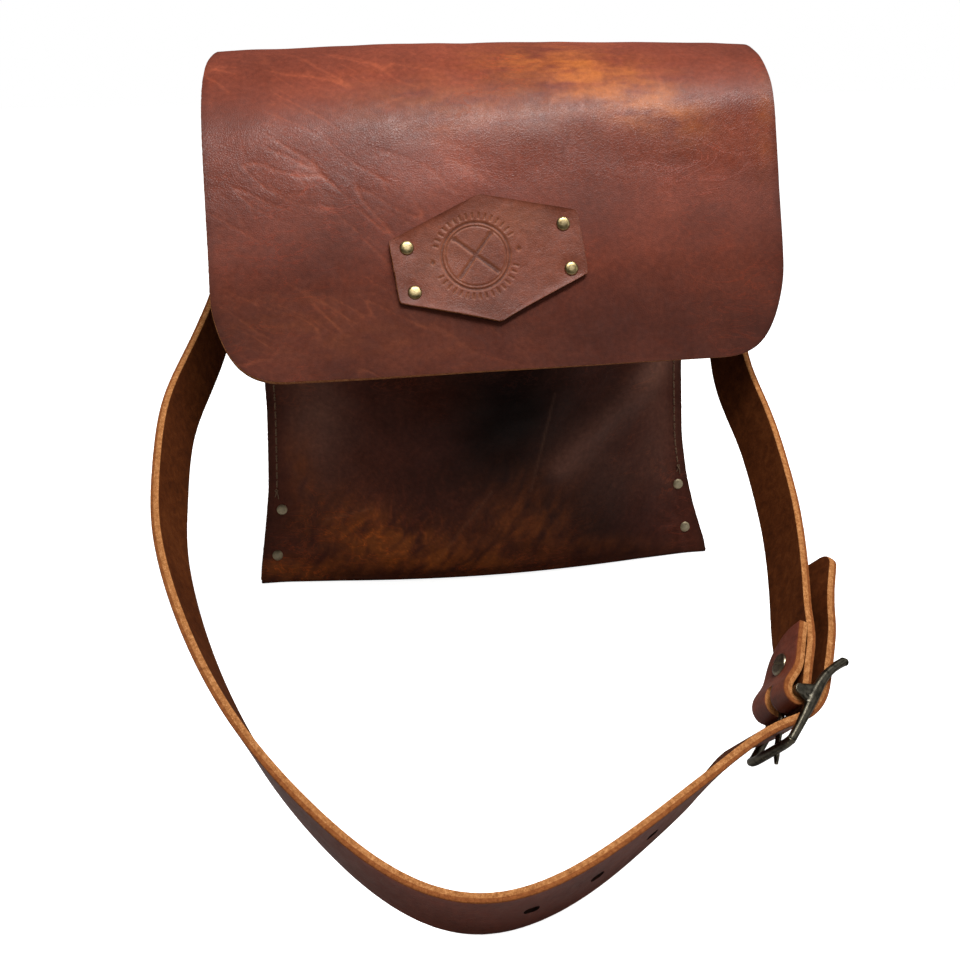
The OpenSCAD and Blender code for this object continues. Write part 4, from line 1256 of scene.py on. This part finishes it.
def capsule(o, X, Y, Z, r, l, h, seg=28, mat=None, face=2):
    """slot-shaped cutter: long axis X, depth Z"""
    a = np.linspace(0, 2 * math.pi, seg, endpoint=False)
    ring = np.stack([r * np.cos(a) + np.where(np.cos(a) >= 0, l / 2, -l / 2), r * np.sin(a)], -1)
    V = np.concatenate([np.c_[ring, np.full(seg, -h / 2)], np.c_[ring, np.full(seg, h / 2)]])
    me = bpy.data.meshes.new("cut")
    P = place(V, o, X, Y, Z)
    faces = [[i, (i + 1) % seg, seg + (i + 1) % seg, seg + i] for i in range(seg)] + [list(range(seg))[::-1], list(range(seg, 2 * seg))]
    me.from_pydata([tuple(p) for p in P], [], faces)
    for m_ in (mat or []):
        me.materials.append(m_)
    bm = bmesh.new()
    bm.from_mesh(me)
    bmesh.ops.recalc_face_normals(bm, faces=bm.faces)
    bm.to_mesh(me)
    bm.free()
    if mat and len(mat) > 2:
        for p in me.polygons:
            p.material_index = face
    c = bpy.data.objects.new("cut", me)
    bpy.context.scene.collection.objects.link(c)
    return c


MATS_L = [M_FLESH, M_STRAP, M_EDGE, M_EDGE_B, M_HOLE_SHADE]
MATS_S = [M_STRAP, M_FLESH, M_EDGE, M_EDGE_B, M_HOLE_SHADE]
strap_l, PLL = build_strap("strap_hide_long", ENDL, ENDLW, LONG, LONGW, (4.0, 6.0, 20.0, 21.5), "round", MATS_L, strap_tone(201), 11)
strap_s, PSS = build_strap("strap_hide_short", ENDR, ENDRW, SHORT, SHORTW, (4.0, 6.0, 12.5, 14.5), "quarter", MATS_S, strap_tone(211), 13)


def at_u(PP, u, v):
    C, T, D, Nn, l, uu, LT = PP
    i = lambda A: np.array([np.interp(u + 5, uu, A[:, k]) for k in range(3)])
    return (i(C) + v * unit(i(D))) * mm, unit(i(T)), unit(i(D)), unit(i(Nn))


cuts = []
for u in (13.26, 14.37, 15.3, 16.2, 24.3):
    o, T_, D_, N_ = at_u(PLL, u, SW / 2)
    cuts.append(capsule(o, T_, np.cross(N_, T_), N_, 2.7 * mm, 3.4 * mm, 14 * mm, mat=MATS_L, face=4))
prs = (BO + 15.6 * BTv - 3.6 * BN + SW / 2 * BW) * mm
cuts.append(capsule(prs, unit(BTv * 0.64 + BN * 0.77), BW, unit(np.cross(unit(BTv * 0.64 + BN * 0.77), BW)), 3.2 * mm, 6.0 * mm, 12 * mm, mat=MATS_L))
boolean(strap_l, cuts)
c2 = [capsule((BO + 2.5 * BTv - 11 * BN + SW / 2 * BW) * mm, BTv, BW, BN, 2.9 * mm, 15 * mm, 26 * mm, mat=MATS_S)]
boolean(strap_s, c2)
for o, nd, st0, en0 in ((strap_l, ("strap_long", "strap_end_left"), (-0.187, 0.070, 0.268), (-0.2, 0.032, 0.252)), (strap_s, ("strap_short", "strap_end_right"), (0.183, 0.070, 0.268), (0.195, 0.032, 0.252))):
    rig.replaces(o, *nd)
    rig.slot(o, "leather_strap")
    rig.blend(o, "bag", "strap", start=(0, 0.070, 0.268), end=(0, 0.032, 0.256))

# rivets that hold the strap ends to the back panel
caps, posts = [], []
bnv = V3(0, math.cos(LEAN), -math.sin(LEAN))
for sg in (-1, 1):
    for x in (100, 126):
        o = V3(sg * x, 79.4 - 4.2, 300 - 18.5) * mm
        caps.append(rivet(o + bnv * 2.72 * mm, bnv))
        caps.append(rivet(o - bnv * 9.9 * mm, -bnv))
        posts.append(tube([o - bnv * 9.9 * mm, o, o + bnv * 2.7 * mm], 1.5 * mm))
solid("anchor_rivets", caps, M_BRASS, "antique_brass", "bag", "anchor_rivet_caps")
solid("anchor_rivet_shanks", posts, M_BRASS, "antique_brass", "bag", "anchor_rivet_posts")

# ---------------------------------------------------------------- buckle
B3 = lambda p, q, w: (BO + p * BTv + q * BN + w * BW) * mm
RO = [[-29.5, 20.5], [-24, 15.5], [-16, 9.8], [-8, 6], [-1, 3.6], [8, 0.6], [18, -2.8], [27, -6.2], [33, -8.6]]


def fuse(name, parts, mat, voxel, smooth_it=6):
    V, F = merge(parts)
    o = make(name, V, F, [mat])
    me = o.data
    bm = bmesh.new()
    bm.from_mesh(me)
    bmesh.ops.holes_fill(bm, edges=[e for e in bm.edges if e.is_boundary], sides=0)
    bmesh.ops.recalc_face_normals(bm, faces=bm.faces)
    bm.to_mesh(me)
    bm.free()
    md = o.modifiers.new("v", "REMESH")
    md.mode = "VOXEL"
    md.voxel_size = voxel
    md.use_smooth_shade = True
    m2 = o.modifiers.new("s", "SMOOTH")
    m2.factor = 0.5
    m2.iterations = smooth_it
    dg = bpy.context.evaluated_depsgraph_get()
    nm = bpy.data.meshes.new_from_object(o.evaluated_get(dg))
    o.modifiers.clear()
    o.data = nm
    nm.polygons.foreach_set("use_smooth", np.ones(len(nm.polygons), bool))
    nm.materials.clear()
    nm.materials.append(mat)
    return o


def flat_tube(pts, rn, rw, side, seg=18):
    """bar with an oval section: rn along the in-plane normal, rw along side"""
    P = np.asarray(pts, float)
    rn = np.broadcast_to(rn, len(P))
    rw = np.broadcast_to(rw, len(P))
    T = unit(np.gradient(P, axis=0))
    V = []
    a = np.linspace(0, 2 * math.pi, seg, endpoint=False)
    for i in range(len(P)):
        n_ = unit(np.cross(T[i], side))
        V.append(P[i] + rn[i] * np.sign(np.cos(a))[:, None] * (np.abs(np.cos(a)) ** 0.8)[:, None] * n_ + rw[i] * (np.sign(np.sin(a)) * np.abs(np.sin(a)) ** 0.8)[:, None] * side)
    V = np.concatenate(V)
    k = np.arange(len(P) * seg).reshape(len(P), seg)
    F = np.stack([k[:-1], np.roll(k[:-1], -1, 1), np.roll(k[1:], -1, 1), k[1:]], -1).reshape(-1, 4)
    return V, F


parts = []
ru = np.linspace(0, len(RO) - 1, 60)
rp = curve(RO, ru)
for w in (-2.9, SW + 2.9):
    P = np.array([B3(p, q, w) for p, q in rp])
    t = ru / (len(RO) - 1)
    rn = (2.5 + 0.9 * np.exp(-((t - 0.5) / 0.2) ** 2)) * mm
    parts.append(flat_tube(P, rn, 2.3 * mm, BW))
    # lug down to the centre bar
    for a, b in (((-5.0, 4.2), (-1.5, -7.2)), ((0.5, 3.0), (-0.8, -7.2)), ((5.0, 1.2), (1.0, -7.2)), ((-2.5, 4.0), (1.0, -6.5))):
        P = np.array([B3(a[0] * (1 - k) + b[0] * k, a[1] * (1 - k) + b[1] * k, w) for k in np.linspace(0, 1, 8)])
        parts.append(flat_tube(P, 2.2 * mm, 1.9 * mm, BW))
    parts.append(tube([B3(0, -6, w - 2.0), B3(0, -6, w), B3(0, -6, w + 2.0)], 3.6 * mm, 18))
for (p, q), sgn in ((RO[0], -1), (RO[-1], 1)):
    ws = np.linspace(-4.6, SW + 4.6, 40)
    c = 1 - ((ws - SW / 2) / (SW / 2 + 4.6)) ** 8
    P = np.array([B3(p - sgn * 1.6 * (1 - c_), q - 0.0, w) for w, c_ in zip(ws, c)])
    rr = (2.75 - 0.35 * (1 - c)) * mm
    parts.append(tube(P, rr, 18))
frame_o = fuse("buckle_casting", parts, M_DARK, 0.6 * mm if Q else 0.38 * mm, 8)
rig.replaces(frame_o, "buckle_frame")
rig.slot(frame_o, "dark_brass")
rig.ride(frame_o, "buckle")
solid("buckle_centre_bar", [tube([B3(0, -6, w) for w in np.linspace(-4.5, SW + 4.5, 12)], 2.5 * mm, 24)], M_DARK, "dark_brass", "buckle", "buckle_bar")
a = np.linspace(0, 2 * math.pi, 40)
loop = [B3(3.55 * math.cos(t), -6 + 3.55 * math.sin(t), SW / 2 + 0.0) for t in a]
sh = [B3(p, -4.3 + 0.35 * math.sin(p / 6), SW / 2) for p in np.linspace(2.0, 38.4, 40)]
srad = np.concatenate([np.full(34, 1.75), np.linspace(1.7, 1.1, 6)]) * mm
prong = fuse("buckle_tongue", [flat_tube(loop, 1.15 * mm, 2.2 * mm, BW), tube(sh, srad, 18)], M_DARK, 0.5 * mm if Q else 0.3 * mm, 4)
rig.replaces(prong, "buckle_prong")
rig.slot(prong, "dark_brass")
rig.ride(prong, "prong")

# ---------------------------------------------------------------- screw post
SR = 7.1 * mm


def head_prof(r, h):
    return [(0.0001 * mm, h), (r * 0.70, h), (r * 0.80, h * 0.96), (r * 0.90, h * 0.78), (r * 0.97, h * 0.5), (r, h * 0.22), (r * 0.98, 0), (0.0001 * mm, 0)]


so = (BO - 24 * BTv + SW / 2 * BW) * mm
dirn = -BN
V, F = lathe(head_prof(SR, 1.9 * mm), 64)
X, Y, Z = basis(dirn, (0.2, 0.9, 0.4))
V2, F2 = lathe([(0.0001 * mm, 9.0 * mm), (1.9 * mm, 9.0 * mm), (1.9 * mm, 3 * mm), (0.0001 * mm, 3 * mm)], 24)
hd = so + dirn * 8.65 * mm
scr = make("screw_head", *merge([(place(V, hd, X, Y, Z), F)]), [M_STEELY])
bm = bmesh.new()
bm.from_mesh(scr.data)
bmesh.ops.remove_doubles(bm, verts=bm.verts, dist=1e-6)
bmesh.ops.recalc_face_normals(bm, faces=bm.faces)
bm.to_mesh(scr.data)
bm.free()
slotdir = unit(BTv * -0.35 + BW * 0.94)
boolean(scr, [capsule(hd + dirn * 2.0 * mm, slotdir, np.cross(dirn, slotdir), dirn, 0.85 * mm, 20 * mm, 2.2 * mm)])
scr.data.polygons.foreach_set("use_smooth", np.zeros(len(scr.data.polygons), bool))
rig.replaces(scr, "screw")
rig.slot(scr, "antique_brass")
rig.ride(scr, "strap")
solid("screw_shank", [(place(V2, so, X, Y, Z), F2)], M_STEELY, "antique_brass", "strap")
Vp, Fp = lathe(head_prof(SR, 1.7 * mm), 56)
X, Y, Z = basis(BN, (0.2, 0.9, 0.4))
Vq, Fq = lathe([(0.0001 * mm, 2.7 * mm), (3.0 * mm, 2.7 * mm), (3.0 * mm, -8.3 * mm), (2.05 * mm, -8.3 * mm), (2.05 * mm, -3 * mm), (0.0001 * mm, -3 * mm)], 32)
solid("screw_post_head", [(place(Vp, so + BN * 2.76 * mm, X, Y, Z), Fp), (place(Vq, so, X, Y, Z), Fq)], M_STEELY, "antique_brass", "strap", "screw_post")

# ---------------------------------------------------------------- stage, light, camera
fm, t, b = nodes_of("white_floor")
b.inputs["Base Color"].default_value = (0.86, 0.86, 0.86, 1)
b.inputs["Roughness"].default_value = 0.9
b.inputs["Specular IOR Level"].default_value = 0.1
em = N(t, "ShaderNodeEmission")
em.inputs[0].default_value = (1, 1, 1, 1)
em.inputs[1].default_value = 0.88
lp = N(t, "ShaderNodeLightPath")
add = N(t, "ShaderNodeAddShader")
mx = N(t, "ShaderNodeMixShader")
t.links.new(b.outputs[0], add.inputs[0])
t.links.new(em.outputs[0], add.inputs[1])
t.links.new(lp.outputs["Is Camera Ray"], mx.inputs[0])
bounce = N(t, "ShaderNodeBsdfDiffuse")
bounce.inputs[0].default_value = (0.3, 0.29, 0.28, 1)
t.links.new(bounce.outputs[0], mx.inputs[1])
t.links.new(add.outputs[0], mx.inputs[2])
t.links.new(mx.outputs[0], [n for n in t.nodes if n.type == "OUTPUT_MATERIAL"][0].inputs[0])
me = bpy.data.meshes.new("floor")
me.from_pydata([(-6, -6, 0), (6, -6, 0), (6, 6, 0), (-6, 6, 0)], [], [(0, 1, 2, 3)])
me.materials.append(fm)
floor = bpy.data.objects.new("floor", me)
floor.location.z = -0.0002
bpy.context.scene.collection.objects.link(floor)
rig.stage(floor)

w = bpy.data.worlds.new("studio")
bpy.context.scene.world = w
w.use_nodes = True
bg = w.node_tree.nodes["Background"]
bg.inputs[0].default_value = (1.0, 0.98, 0.96, 1)
bg.inputs[1].default_value = 0.26
bg2 = w.node_tree.nodes.new("ShaderNodeBackground")
bg2.inputs[0].default_value = (1, 1, 1, 1)
bg2.inputs[1].default_value = 1.0
wlp = w.node_tree.nodes.new("ShaderNodeLightPath")
wmx = w.node_tree.nodes.new("ShaderNodeMixShader")
bg3 = w.node_tree.nodes.new("ShaderNodeBackground")
bg3.inputs[0].default_value = (1, 0.97, 0.94, 1)
bg3.inputs[1].default_value = 0.04
wm2 = w.node_tree.nodes.new("ShaderNodeMixShader")
w.node_tree.links.new(wlp.outputs["Is Glossy Ray"], wm2.inputs[0])
w.node_tree.links.new(bg.outputs[0], wm2.inputs[1])
w.node_tree.links.new(bg3.outputs[0], wm2.inputs[2])
w.node_tree.links.new(wlp.outputs["Is Camera Ray"], wmx.inputs[0])
w.node_tree.links.new(wm2.outputs[0], wmx.inputs[1])
w.node_tree.links.new(bg2.outputs[0], wmx.inputs[2])
w.node_tree.links.new(wmx.outputs[0], w.node_tree.nodes["World Output"].inputs[0])


def area(name, loc, target, size, power, size_y=None, color=(1, 1, 1)):
    l = bpy.data.lights.new(name, "AREA")
    l.energy = power
    l.color = color
    l.size = size
    if size_y:
        l.shape = "RECTANGLE"
        l.size_y = size_y
    o = bpy.data.objects.new(name, l)
    o.location = loc
    o.rotation_euler = (Vector(target) - Vector(loc)).to_track_quat("-Z", "Y").to_euler()
    bpy.context.scene.collection.objects.link(o)
    return o


area("key", (0.28, -0.6, 1.68), (0.03, -0.04, 0.3), 1.05, 24, 0.34)
ov_ = area("overhead", (0.1, 0.1, 1.8), (0.0, -0.05, 0.2), 1.0, 12)
ov_.visible_glossy = False
fl_ = area("front_left", (-1.2, -1.5, 1.25), (0, -0.1, 0.2), 1.0, 2.6)
fl_.visible_glossy = False
area("front_right", (1.5, -1.0, 1.0), (0, -0.1, 0.2), 0.7, 2.0)

cam = bpy.data.cameras.new("camera")
cam.sensor_width = 36
cam.lens = 41.25
cam.clip_start = 0.01
co = bpy.data.objects.new("camera", cam)
co.matrix_world = Matrix(((_r2[0], _u2[0], -_d[0], CAM[0]), (_r2[1], _u2[1], -_d[1], CAM[1]), (_r2[2], _u2[2], -_d[2], CAM[2]), (0, 0, 0, 1)))
bpy.context.scene.collection.objects.link(co)
bpy.context.scene.camera = co
sc = bpy.context.scene
sc.view_settings.view_transform = "Standard"
sc.view_settings.look = "None"
sc.view_settings.exposure = 0.0

with open("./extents.json", "w") as fh:
    json.dump({"cad": cad_box, "visual": [list(v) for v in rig.bounds()]}, fh)
